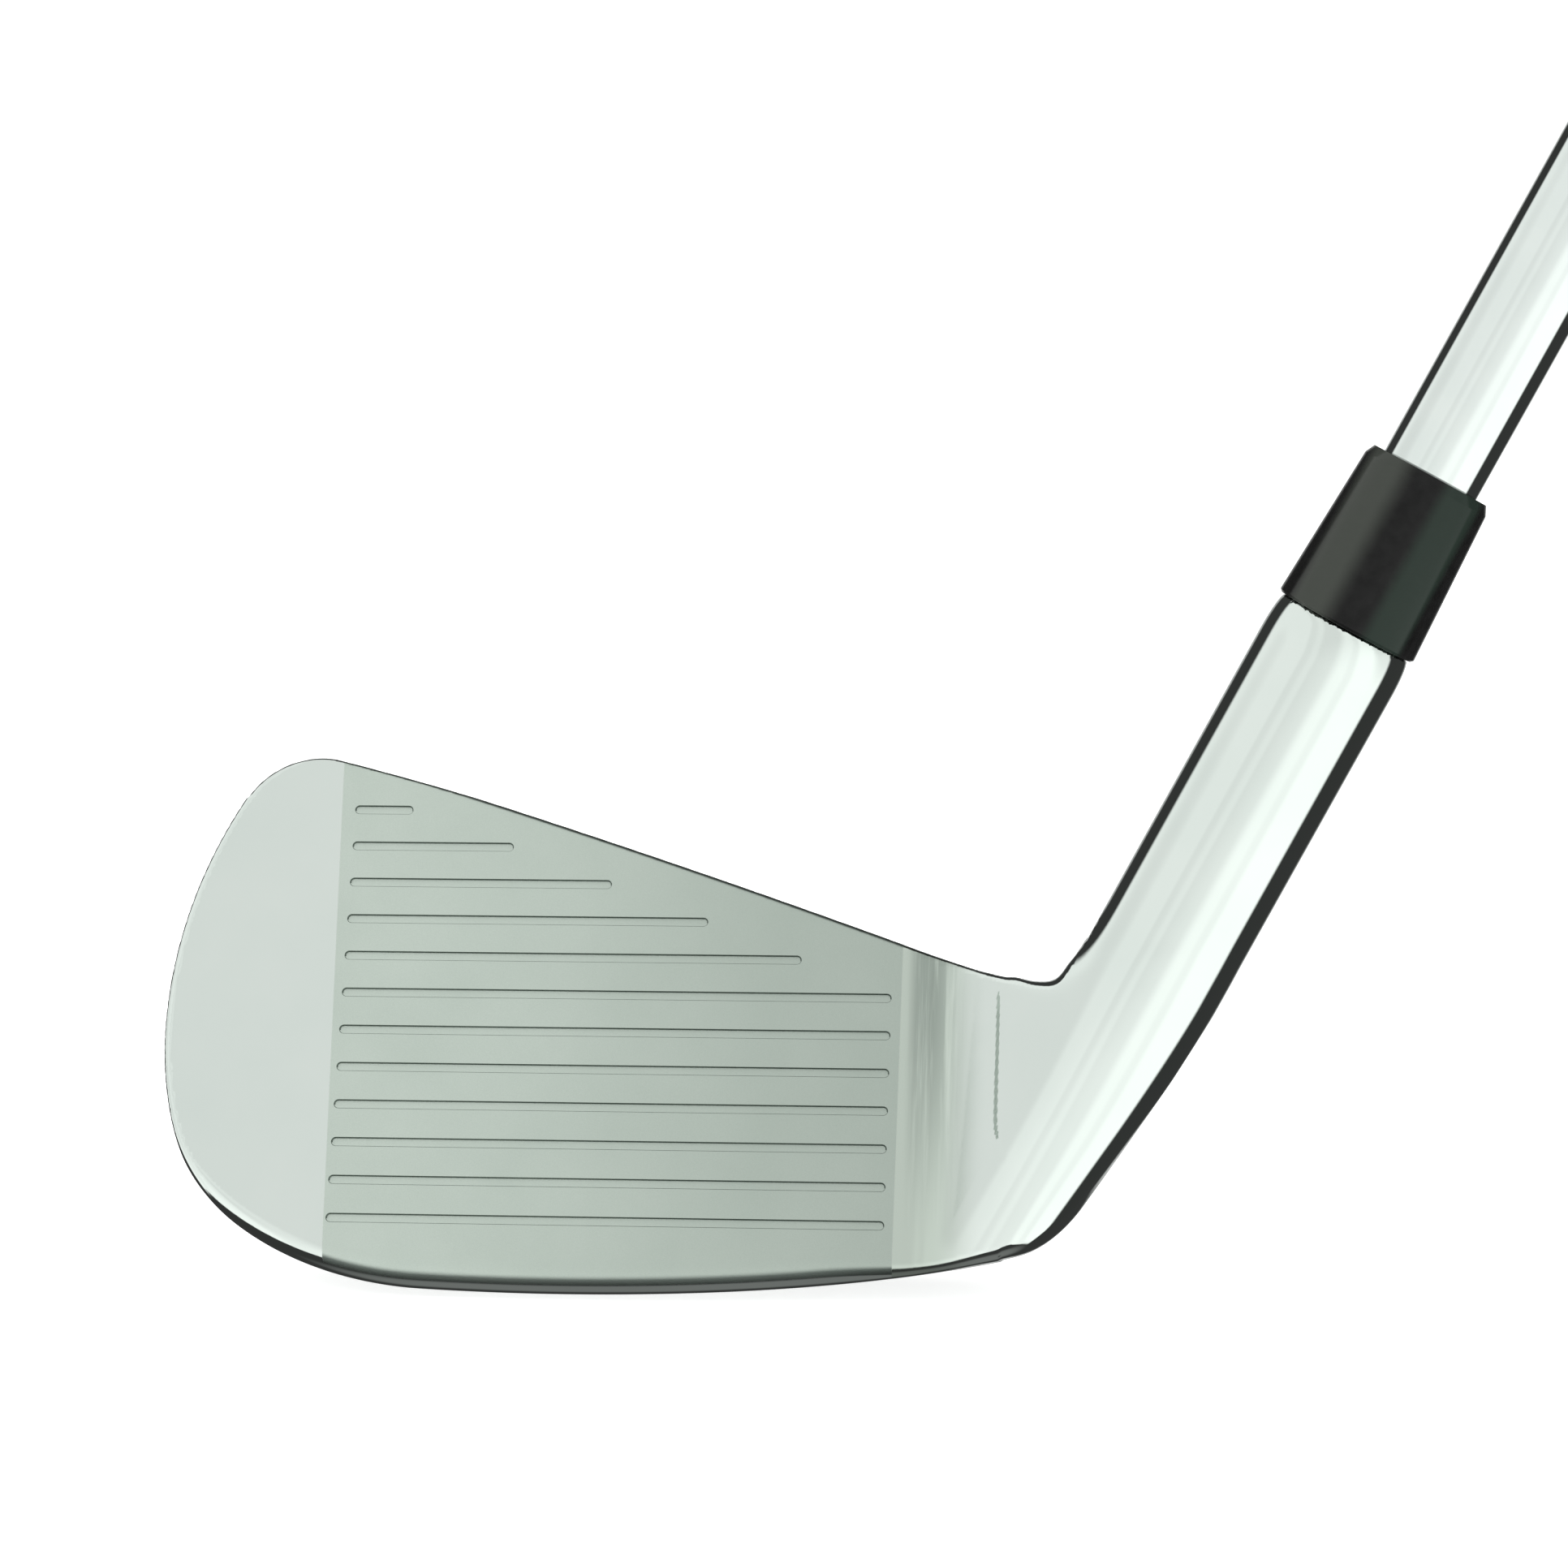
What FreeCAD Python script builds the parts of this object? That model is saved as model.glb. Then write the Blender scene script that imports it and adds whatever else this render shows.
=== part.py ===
import FreeCAD, Part
import math
import os

V = FreeCAD.Vector

# ---------------------------------------------------------------- head, mm and degrees
LOFT = 26.0            # tilt of the hitting face from the vertical
LIE = 61.5             # angle of the shaft axis above the ground
FACE_RISE = 2.0        # height at which the face plane crosses y = 0
AXIS_X = 34.94         # where the shaft axis meets the ground
AXIS_Y = 4.2
HOSEL_R = 6.75
HOSEL_TOP = 71.5       # measured up the shaft axis from the ground
HOSEL_NECK_R = 6.25    # radius at the very top, under the ferrule
SHOULDER = 3.6         # length of the rounded shoulder below the ferrule
PIVOT_X = 38.0         # centre of the crook between blade and hosel
PIVOT_Z = 38.3
TOPLINE = (43.86, -0.3405, -0.00055)      # height along the face, polynomial in x
CAMBER = (-3.0, 0.0018, 2.3e-7)           # lowest x of the sole, then its square and fourth-power rise
TOE_RISE = (-16.0, 25.5, 14.9)            # quarter ellipse of the low toe: start x, half-width, half-height
CROOK_KEYS = ((0.0, 9.0), (17.0, 9.1), (31.0, 9.05), (43.0, 8.75), (54.0, 8.75), (61.5, 8.84))
HEEL_KEYS = (
    (0.0, 34.5), (5.0, 33.7), (10.0, 32.15), (20.0, 28.1), (30.0, 25.3), (38.0, 23.8),
    (46.0, 22.75), (54.0, 22.25), (61.5, 22.34),
)
TOP_THICK = 5.6        # topline thickness
SOLE_R = 34.0          # front-to-back curve of the sole
SOLE_Y = 8.5           # lowest line of the sole
TRAIL_Y = 19.4         # trailing edge of the sole
TRAIL_Z = 5.0
MUSCLE_LEAN = 24.0     # lean of the rear wall of the muscle
CORNER_R = (0.9, 1.8, 3.0, 2.6)           # front-top, back-top, back-bottom, leading edge
MORPH_START = -2.5     # blade turns into hosel between these stations
MORPH_END = 25.0
FAN_SCALE = 22.0
TOE_END = -44.0
FACE_STOCK = 0.06      # forging stock milled off the flat face
HEEL_STOCK = 0.9

# toe outline in the face plane: centre x, centre height, radius
TOE_TOP = (-28.3, 44.0, 8.2)
TOE_UPPER = (5.4, 25.0, 47.0)
TOE_LOWER = (-6.6, 25.0, 35.0)

MILL_START = 28.4      # flat face ends here and the concave run-out begins
MILL_R = 62.0
MILL_END = 38.2

GROOVE_PITCH = 3.7
GROOVE_LOW = 6.0       # lowest score line, height along the face
GROOVE_W = 0.8
GROOVE_D = 0.45
GROOVE_COUNT = 12
GROOVE_FULL = 7        # the lowest seven run the full width
GROOVE_TOE = -24.8
GROOVE_HEEL = 27.2
GROOVE_MARGIN = 3.5    # topline distance of the shortest one, growing downwards
GROOVE_MARGIN_STEP = 0.48

# ---------------------------------------------------------------- cavity and what it holds
FACE_T = 3.0           # face thickness in front of the cavity
RIM = 5.5              # rim left round the cavity
CAVITY_LOW = 17.5
CAVITY_HEEL = 25.5
PAD_T = 1.0
BADGE_T = 0.8
BADGE_GAP = 0.35       # badge to cavity wall
TAPE_W = 3.6           # width of the adhesive frame
WEIGHT_X = -26.0
WEIGHT_Z = 8.8
WEIGHT_R = 4.0
WEIGHT_Y0 = 9.6
WEIGHT_Y1 = 17.2

# ---------------------------------------------------------------- hosel, ferrule, shaft
BORE_R = 4.85
BORE_BOTTOM = 39.8
TIP_R = 4.70
TIP_BOTTOM = 41.3
WALL_TIP = 0.65        # tube wall at the tip
WALL_BUTT = 0.36
FERRULE_TOP = 87.2
FERRULE_LOW_R = 6.9
FERRULE_HIGH_R = 6.2
FERRULE_CHAMFER = (0.45, 0.9)
TIP_WEIGHT_LEN = 14.0
FIRST_STEP = 226.0
STEP_PITCH = 31.75
STEP_COUNT = 14
BUTT_R = 7.62
CLUB_LENGTH = 952.5    # ground to the end of the grip cap, along the axis
SHAFT_TOP = 945.0
LABEL = (646.0, 678.0)
LABEL_T = 0.08

# ---------------------------------------------------------------- grip
GRIP_LENGTH = 267.0
TAPE_T = 0.2
MOUTH_R = 9.3
GRIP_BUTT_R = 13.2
CAP_R = 14.6
CAP_T = 4.5
VENT_R = 1.5

L = math.radians(LOFT)
A = math.radians(LIE)
NORMAL = V(0, -math.cos(L), math.sin(L))
UPFACE = V(0, math.sin(L), math.cos(L))
ACROSS = V(1, 0, 0)
SHAFT_DIR = V(math.cos(A), 0, math.sin(A))
GROUND_AXIS = V(AXIS_X, AXIS_Y, 0)
FACE_ORIGIN = V(0, 0, FACE_RISE)


def on_face(x, v, out=0.0):
    return FACE_ORIGIN + ACROSS * x + UPFACE * v + NORMAL * out


def on_axis(k):
    return GROUND_AXIS + SHAFT_DIR * k


def topline(x):
    c = TOPLINE
    return c[0] + c[1] * x + c[2] * x * x


def sole_rise(x):
    u = x - CAMBER[0]
    rise = CAMBER[1] * u * u + CAMBER[2] * u ** 4
    start, a, b = TOE_RISE
    over = (start - x) / a
    if over > 0:
        near = min(over, 0.80)
        flat = math.sqrt(1 - near * near)
        rise += b * (1 - flat) + b * near / flat * (over - near)
    return rise


def through_keys(keys, t):
    xs = [k[0] for k in keys]
    ys = [k[1] for k in keys]
    n = len(xs)
    if t <= xs[0]:
        return ys[0]
    if t >= xs[-1]:
        return ys[-1]
    slopes = []
    for i in range(n):
        a = max(i - 1, 0)
        b = min(i + 1, n - 1)
        slopes.append((ys[b] - ys[a]) / (xs[b] - xs[a]))
    i = 0
    while t > xs[i + 1]:
        i += 1
    h = xs[i + 1] - xs[i]
    u = (t - xs[i]) / h
    a = (1 + 2 * u) * (1 - u) ** 2
    b = u * (1 - u) ** 2
    c = u * u * (3 - 2 * u)
    d = u * u * (u - 1)
    return a * ys[i] + b * h * slopes[i] + c * ys[i + 1] + d * h * slopes[i + 1]


def smooth(u):
    u = min(max(u, 0.0), 1.0)
    return u * u * u * (10 - 15 * u + 6 * u * u)


def soft_min(a, b, k):
    h = max(k - abs(a - b), 0.0) / k
    return min(a, b) - h * h * k / 4


class Section:
    """One cross-section of the head skin: a plane through the crook pivot line.

    Station < 0 is a plane square to x, 0 to the end of the fan turns about the
    pivot, and beyond that the planes are square to the shaft axis.
    """

    def __init__(self, station):
        self.station = station
        fan_end = FAN_SCALE * A
        if station < 0:
            self.angle = 0.0
            self.origin = V(PIVOT_X + station, 0, PIVOT_Z)
            x = PIVOT_X + station
        elif station < fan_end:
            self.angle = station / FAN_SCALE
            self.origin = V(PIVOT_X, 0, PIVOT_Z)
            x = PIVOT_X
        else:
            self.angle = A
            self.origin = V(PIVOT_X, 0, PIVOT_Z) + SHAFT_DIR * (station - fan_end)
            x = PIVOT_X
        self.down = V(math.sin(self.angle), 0, -math.cos(self.angle))
        self.w = smooth((station - MORPH_START) / (MORPH_END - MORPH_START))
        if station < 0:
            blade_in = PIVOT_Z - FACE_RISE - topline(x) * math.cos(L)
            mix = smooth(1 + station / 10.0)
            self.q_in = blade_in * (1 - mix) + CROOK_KEYS[0][1] * mix
            self.q_out = PIVOT_Z - sole_rise(x)
        else:
            deg = math.degrees(self.angle)
            self.q_in = through_keys(CROOK_KEYS, deg)
            self.q_out = through_keys(HEEL_KEYS, deg)
        self.stock = FACE_STOCK + (HEEL_STOCK - FACE_STOCK) * smooth((station + 14.0) / 14.0)
        self.radius = HOSEL_R
        self.axis_q = None
        if station >= fan_end:
            k = (self.origin - GROUND_AXIS).dot(SHAFT_DIR)
            foot = on_axis(k)
            self.axis_q = (V(foot.x, 0, foot.z) - self.origin).dot(self.down)
            left = k - (HOSEL_TOP - SHOULDER)
            if left > 0:
                drop = HOSEL_R - HOSEL_NECK_R
                self.radius = HOSEL_R - drop * (1 - math.sqrt(max(0.0, 1 - (left / SHOULDER) ** 2)))
            self.q_in = self.axis_q - self.radius
            self.q_out = self.axis_q + self.radius
        stock = self.stock
        self.stock = 0.0
        self.front_c = self.front_y(self.q_in)
        self.stock = stock

    def front_y(self, q):
        z = PIVOT_Z - q
        blade = (z - FACE_RISE) * math.tan(L) - self.stock / math.cos(L)
        hosel = AXIS_Y - self.radius
        w = self.w
        c = math.cos(L)
        return (blade * (1 - w) * c + hosel * w) / ((1 - w) * c + w)

    def walls(self, q, y):
        w = self.w
        z = PIVOT_Z - q
        face = (z - FACE_RISE) * math.sin(L) - y * math.cos(L)
        front = (1 - w) * (face - self.stock) + w * (AXIS_Y - self.radius - y)
        slab = -face - TOP_THICK
        m = math.radians(MUSCLE_LEAN)
        rise = PIVOT_Z - self.q_out
        muscle = (y - TRAIL_Y) * math.cos(m) + (z - TRAIL_Z - rise) * math.sin(m)
        back = (1 - w) * soft_min(slab, muscle, 7.0) + w * (y - AXIS_Y - self.radius)
        tilt = (1 - w) * L
        inner = (self.q_in - q) * math.cos(tilt) + (y - self.front_c) * math.sin(tilt)
        arc = math.hypot(y - SOLE_Y, z - rise - SOLE_R) - SOLE_R
        outer = (1 - w) * arc + w * (q - self.q_out)
        return front, back, inner, outer

    def field(self, q, y):
        front, back, inner, outer = self.walls(q, y)
        a = max(front, back)
        b = max(inner, outer)
        fr = 0.5 + 0.5 * math.tanh((front - back) / 1.5)
        top = 0.5 + 0.5 * math.tanh((inner - outer) / 3.0)
        c = CORNER_R
        r = fr * (top * c[0] + (1 - top) * c[3]) + (1 - fr) * (top * c[1] + (1 - top) * c[2])
        r = r * (1 - self.w) + self.radius * self.w
        return min(max(a, b), -r) + math.hypot(max(a + r, 0.0), max(b + r, 0.0))

    def back_y(self, q):
        lo = self.front_y(q)
        hi = 60.0
        for _ in range(36):
            mid = (lo + hi) / 2
            if self.walls(q, mid)[1] < 0:
                lo = mid
            else:
                hi = mid
        return lo

    def ray(self, e, f):
        """Boundary point on the path towards the corner-square point (e, f)."""
        qm = (self.q_in + self.q_out) / 2
        h = (self.q_out - self.q_in) / 2
        lo = 0.0
        hi = 1.5
        for _ in range(30):
            mid = (lo + hi) / 2
            q = qm + mid * h * e
            clamped = min(max(q, self.q_in), self.q_out)
            yf = self.front_y(clamped)
            yb = self.back_cache(clamped)
            y = (yf + yb) / 2 + mid * f * (yb - yf) / 2
            if self.field(q, y) < 0:
                lo = mid
            else:
                hi = mid
        return q, y

    def back_cache(self, q):
        if not hasattr(self, "table"):
            steps = 60
            self.steps = steps
            self.table = []
            for i in range(steps + 1):
                qq = self.q_in + (self.q_out - self.q_in) * i / steps
                self.table.append(self.back_y(qq))
        u = (q - self.q_in) / (self.q_out - self.q_in) * self.steps
        i = min(int(u), self.steps - 1)
        return self.table[i] + (self.table[i + 1] - self.table[i]) * (u - i)

    def side(self, start, end, count, gap):
        """Points along one side, crowded towards both corners."""
        dense = 90
        pts = []
        for i in range(dense + 1):
            u = i / dense
            u = u - 0.9 * math.sin(2 * math.pi * u) / (2 * math.pi)
            e = start[0] + (end[0] - start[0]) * u
            f = start[1] + (end[1] - start[1]) * u
            pts.append(self.ray(e, f))
        run = [0.0]
        for i in range(dense):
            a = pts[i]
            b = pts[i + 1]
            run.append(run[-1] + math.hypot(a[0] - b[0], a[1] - b[1]))
        total = run[-1]
        crowd = max(0.0, 1 - gap * count / total)
        out = []
        j = 0
        for i in range(count):
            u = i / count
            target = total * (u - crowd * math.sin(2 * math.pi * u) / (2 * math.pi))
            while run[j + 1] < target:
                j += 1
            t = (target - run[j]) / max(run[j + 1] - run[j], 1e-12)
            a = pts[j]
            b = pts[j + 1]
            out.append((a[0] + (b[0] - a[0]) * t, a[1] + (b[1] - a[1]) * t))
        return out

    def loop(self):
        """Closed run of points round the section, from the middle of the sole."""
        corners = ((1, -1), (-1, -1), (-1, 1), (1, 1))
        counts = (20, 10, 20, 14)
        flat = []
        for i in range(4):
            flat += self.side(corners[i], corners[(i + 1) % 4], counts[i], 0.3)
        half = counts[3] // 2
        flat = flat[-half:] + flat[:-half]
        pts = []
        for q, y in flat:
            pts.append(self.origin + self.down * q + V(0, y, 0))
        return pts


def head_stations():
    fan_end = FAN_SCALE * A
    k0 = (V(PIVOT_X, AXIS_Y, PIVOT_Z) - GROUND_AXIS).dot(SHAFT_DIR)
    stations = [TOE_END - PIVOT_X, -80.8, -79.6, -78.4, -77, -75, -72, -68, -64, -59, -52, -40, -28, -19, -12, -7, -3]
    stations += [0, 2.5, 5, 8, 11, 14, 17, 20, fan_end, fan_end + 3, fan_end + 8]
    for k in (52, 60, 65, HOSEL_TOP - SHOULDER, 68.6, 69.6, 70.5, HOSEL_TOP):
        stations.append(fan_end + k - k0)
    return stations


def head_skin():
    """Skin through the section loops: cubic round each loop and along the spine."""
    stations = head_stations()
    rows = []
    for s in stations:
        pts = Section(s).loop()
        ring = Part.BSplineCurve()
        ring.interpolate(Points=pts, PeriodicFlag=True, Parameters=[float(i) for i in range(len(pts) + 1)])
        rows.append(ring)
    around = rows[0].getKnots()
    around_mults = rows[0].getMultiplicities()
    ring_poles = [r.getPoles() for r in rows]
    columns = []
    for j in range(len(ring_poles[0])):
        along = Part.BSplineCurve()
        along.interpolate(Points=[p[j] for p in ring_poles], Parameters=[float(s) for s in stations])
        columns.append(along)
    knots = columns[0].getKnots()
    mults = columns[0].getMultiplicities()
    net = [c.getPoles() for c in columns]
    surface = Part.BSplineSurface()
    surface.buildFromPolesMultsKnots(net, around_mults, mults, around, knots, True, False, 3, 3)
    skin = surface.toShape()
    ends = []
    for r in (rows[0], rows[-1]):
        ends.append(Part.Face(Part.Wire([r.toShape()])))
    shell = Part.Shell([skin] + ends)
    shell.sewShape()
    solid = Part.Solid(Part.Shell(shell.Faces))
    if solid.Volume < 0:
        solid.reverse()
    return solid


def face_prism(edges, depth0, depth1):
    """Prism on an outline drawn in the face plane; depth is measured behind the face."""
    face = Part.Face(Part.Wire(edges))
    face.translate(NORMAL * -depth0)
    return face.extrude(NORMAL * -(depth1 - depth0))


def circle_point(circle, angle):
    t = math.radians(angle)
    return on_face(circle[0] + circle[2] * math.cos(t), circle[1] + circle[2] * math.sin(t))


def chain(points):
    return [Part.makeLine(points[i], points[i + 1]) for i in range(len(points) - 1)]


def toe_arcs(low_angle):
    """Toe outline from the topline down to the lower toe."""
    top = TOE_TOP
    upper = TOE_UPPER
    lower = TOE_LOWER
    join = math.degrees(math.atan2(TOE_TOP[1] - TOE_UPPER[1], TOE_TOP[0] - TOE_UPPER[0]))
    nodes = [circle_point(top, 73.4), circle_point(upper, join), circle_point(upper, 180), circle_point(lower, low_angle)]
    mids = [circle_point(top, (73.4 + join) / 2), circle_point(upper, (join + 180) / 2)]
    mids.append(circle_point(lower, (180 + low_angle) / 2))
    return [Part.Arc(nodes[i], mids[i], nodes[i + 1]).toShape() for i in range(3)]


def trim_toe(skin):
    edges = toe_arcs(214.0)
    start = edges[0].valueAt(edges[0].FirstParameter)
    end = edges[-1].valueAt(edges[-1].LastParameter)
    edges += chain([end, on_face(-32, -30), on_face(110, -30), on_face(110, 110), on_face(-20, 110), start])
    keep = face_prism(edges, -60.0, 60.0)
    return skin.common(keep)


def mill_face(head):
    """Flat face with a concave run-out towards the hosel."""
    a0 = on_face(-70, -20)
    a1 = on_face(MILL_START, -20)
    reach = math.asin((MILL_END - MILL_START) / MILL_R)
    mid = reach / 2
    p_mid = on_face(MILL_START + MILL_R * math.sin(mid), -20, MILL_R * (1 - math.cos(mid)))
    p_end = on_face(MILL_END, -20, MILL_R * (1 - math.cos(reach)))
    p_out = on_face(MILL_END + 12, -20, 30)
    p_back = on_face(-70, -20, 30)
    edges = [Part.makeLine(a0, a1), Part.Arc(a1, p_mid, p_end).toShape()]
    edges += chain([p_end, p_out, p_back, a0])
    tool = Part.Face(Part.Wire(edges)).extrude(UPFACE * 100)
    return head.cut(tool)


def score_line(v, x0, x1):
    r = GROOVE_W / 2
    a = on_face(x0 + r, v + r)
    b = on_face(x1 - r, v + r)
    c = on_face(x1 - r, v - r)
    d = on_face(x0 + r, v - r)
    edges = [Part.makeLine(a, b), Part.Arc(b, on_face(x1, v), c).toShape()]
    edges += [Part.makeLine(c, d), Part.Arc(d, on_face(x0, v), a).toShape()]
    return face_prism(edges, -1.0, GROOVE_D)


def score_lines():
    cutters = []
    for i in range(GROOVE_COUNT):
        v = GROOVE_LOW + GROOVE_PITCH * i
        x1 = GROOVE_HEEL
        if i >= GROOVE_FULL:
            margin = GROOVE_MARGIN + GROOVE_MARGIN_STEP * (GROOVE_COUNT - 1 - i)
            while topline(x1) < v + margin:
                x1 -= 0.05
        cutters.append(score_line(v, GROOVE_TOE, x1))
    return cutters


def toe_side(rim, v):
    """Point of the toe-side cavity wall at height v."""
    return TOE_UPPER[0] - math.sqrt((TOE_UPPER[2] - rim) ** 2 - (v - TOE_UPPER[1]) ** 2)


def cavity_corners(inset):
    """Sharp corners of the cavity outline: high toe, low toe, low heel, high heel."""
    rim = RIM + inset
    low = CAVITY_LOW + inset
    heel = CAVITY_HEEL - inset
    drop = 1.05 * rim + 0.2
    v_heel = topline(heel) - drop
    slope = (topline(-27.0) - drop - v_heel) / (-27.0 - heel)
    v = v_heel
    while v < v_heel + slope * (toe_side(rim, v) - heel):
        v += 0.002
    flat = [(toe_side(rim, v), v), (toe_side(rim, low), low), (heel, low), (heel, v_heel)]
    return [on_face(p[0], p[1]) for p in flat]


def cavity_block(inset, depth0, depth1, corner):
    """Block filling the cavity outline, shrunk by the inset, between two depths."""
    rim = RIM + inset
    corners = cavity_corners(inset)
    arc = Part.Arc(corners[0], on_face(toe_side(rim, 30.0), 30.0), corners[1]).toShape()
    block = face_prism([arc] + chain(corners[1:] + corners[:1]), depth0, depth1)
    radii = [max(TOE_TOP[2] - rim, corner), corner, corner, corner]
    for c, r in zip(corners, radii):
        upright = []
        for e in block.Edges:
            ends = [v.Point - c for v in e.Vertexes]
            near = [(p - NORMAL * p.dot(NORMAL)).Length < 0.01 for p in ends]
            if len(near) == 2 and all(near):
                upright.append(e)
        block = block.makeFillet(r, upright)
    return block


def on_shaft(shape):
    shape.Placement = FreeCAD.Placement(GROUND_AXIS, FreeCAD.Rotation(V(0, 0, 1), SHAFT_DIR))
    return shape


def turned(points):
    """Solid of revolution about the shaft axis from (radius, height) corners."""
    pts = [V(r, 0, k) for r, k in points]
    face = Part.Face(Part.makePolygon(pts + [pts[0]]))
    return on_shaft(face.revolve(V(0, 0, 0), V(0, 0, 1), 360))


def head_body():
    head = mill_face(trim_toe(head_skin()))
    head = head.cut(cavity_block(0.0, FACE_T, 40.0, 3.0))
    head = head.cut(turned([(0, BORE_BOTTOM - 1.2), (BORE_R, BORE_BOTTOM), (BORE_R, 90), (0, 90)]))
    head = head.cut(weight_rod(WEIGHT_Y0, 40.0))
    for cutter in score_lines():
        head = head.cut(cutter)
    return head


def weight_rod(y0, y1):
    return Part.makeCylinder(WEIGHT_R, y1 - y0, V(WEIGHT_X, y0, WEIGHT_Z), V(0, 1, 0))


def toe_weight():
    rod = weight_rod(WEIGHT_Y0, WEIGHT_Y1)
    rim = [e for e in rod.Edges if abs(e.BoundBox.YMin - WEIGHT_Y1) < 1e-6 and e.BoundBox.XLength > 1]
    return rod.makeChamfer(0.5, rim)


def damping_insert():
    return cavity_block(BADGE_GAP + TAPE_W + 0.4, FACE_T, FACE_T + PAD_T, 1.5)


def badge_tape():
    outer = cavity_block(BADGE_GAP, FACE_T, FACE_T + PAD_T, 2.6)
    inner = cavity_block(BADGE_GAP + TAPE_W, FACE_T - 1, FACE_T + PAD_T + 1, 1.5)
    return outer.cut(inner)


def cavity_badge():
    d0 = FACE_T + PAD_T
    plate = cavity_block(BADGE_GAP, d0, d0 + BADGE_T, 2.6)
    edge = []
    for e in plate.Edges:
        deep = [abs((v.Point - FACE_ORIGIN).dot(NORMAL) + d0 + BADGE_T) < 1e-6 for v in e.Vertexes]
        if all(deep):
            edge.append(e)
    return plate.makeChamfer(0.2, edge)


def hosel_epoxy():
    k0 = BORE_BOTTOM
    return turned([(0, k0 - 1.2), (BORE_R, k0), (BORE_R, HOSEL_TOP), (TIP_R, HOSEL_TOP), (TIP_R, TIP_BOTTOM), (0, TIP_BOTTOM)])


def ferrule():
    c = FERRULE_CHAMFER
    top = FERRULE_TOP
    low = HOSEL_TOP
    pts = [(TIP_R, low), (FERRULE_LOW_R - 0.25, low), (FERRULE_LOW_R, low + 0.25)]
    pts += [(FERRULE_HIGH_R, top - c[1]), (FERRULE_HIGH_R - c[0], top), (TIP_R, top)]
    return turned(pts)


def shaft_profile():
    outer = [(TIP_R, TIP_BOTTOM)]
    grow = (BUTT_R - TIP_R) / STEP_COUNT
    r = TIP_R
    for i in range(STEP_COUNT):
        k = FIRST_STEP + STEP_PITCH * i
        outer.append((r, k))
        r = TIP_R + grow * (i + 1)
        outer.append((r, k + 1.2))
    outer.append((BUTT_R, SHAFT_TOP))
    return outer


def wall_at(r):
    return WALL_TIP + (WALL_BUTT - WALL_TIP) * (r - TIP_R) / (BUTT_R - TIP_R)


def shaft():
    outer = shaft_profile()
    inner = [(r - wall_at(r), k) for r, k in reversed(outer)]
    return turned(outer + inner)


def tip_weight():
    r = TIP_R - WALL_TIP
    k = TIP_BOTTOM
    end = k + TIP_WEIGHT_LEN
    return turned([(0, k), (r, k), (r, end - 0.8), (r - 0.8, end), (0, end)])


def radius_at(k):
    steps = sum(1 for i in range(STEP_COUNT) if FIRST_STEP + STEP_PITCH * i < k)
    return TIP_R + (BUTT_R - TIP_R) / STEP_COUNT * steps


def shaft_label():
    r = radius_at(LABEL[0])
    k0 = LABEL[0]
    k1 = LABEL[1]
    return turned([(r, k0), (r + LABEL_T, k0), (r + LABEL_T, k1), (r, k1)])


def grip_tape():
    k0 = CLUB_LENGTH - GRIP_LENGTH + 3
    r = BUTT_R + TAPE_T
    top = SHAFT_TOP
    fold = BUTT_R - WALL_BUTT
    return turned([(BUTT_R, k0), (r, k0), (r, top + TAPE_T), (fold, top + TAPE_T), (fold, top), (BUTT_R, top)])


def grip_sleeve():
    k0 = CLUB_LENGTH - GRIP_LENGTH
    top = CLUB_LENGTH - CAP_T
    bore = BUTT_R + TAPE_T
    outer = [(BUTT_R, k0), (MOUTH_R - 1.0, k0), (MOUTH_R, k0 + 1.0), (MOUTH_R, k0 + 5.0)]
    outer += [(MOUTH_R - 0.5, k0 + 5.6), (MOUTH_R - 0.4, k0 + 7.4), (MOUTH_R + 0.2, k0 + 8.0)]
    outer += [(MOUTH_R + 1.5, k0 + 80), (GRIP_BUTT_R - 1.2, top - 60), (GRIP_BUTT_R, top - 18), (CAP_R - 0.6, top - 1)]
    outer += [(CAP_R - 0.4, top), (6.0, top)]
    inner = [(6.0, SHAFT_TOP + TAPE_T), (bore, SHAFT_TOP + TAPE_T), (bore, k0 + 3), (BUTT_R, k0 + 3)]
    return turned(outer + inner)


def grip_cap():
    k0 = CLUB_LENGTH - CAP_T
    stem = SHAFT_TOP + TAPE_T
    pts = [(VENT_R, stem), (6.0, stem), (6.0, k0), (CAP_R - 0.4, k0), (CAP_R, k0 + 0.8)]
    pts += [(CAP_R, k0 + 2.6), (CAP_R - 1.6, CLUB_LENGTH - 0.4), (CAP_R - 4.0, CLUB_LENGTH), (VENT_R, CLUB_LENGTH)]
    return turned(pts)


NODES = {
    "head_body": head_body,
    "toe_weight": toe_weight,
    "damping_insert": damping_insert,
    "badge_tape": badge_tape,
    "cavity_badge": cavity_badge,
    "hosel_epoxy": hosel_epoxy,
    "tip_weight": tip_weight,
    "ferrule": ferrule,
    "shaft": shaft,
    "shaft_label": shaft_label,
    "grip_tape": grip_tape,
    "grip_sleeve": grip_sleeve,
    "grip_cap": grip_cap,
}

os.makedirs("parts", exist_ok=True)
for name, make in NODES.items():
    shape = make()
    print(name, shape.ShapeType, len(shape.Solids), shape.isValid(), round(shape.Volume, 1))
    shape.exportStep("parts/" + name + ".step")
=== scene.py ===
import math
import bpy
import numpy as np
from mathutils import Matrix, Vector


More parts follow.
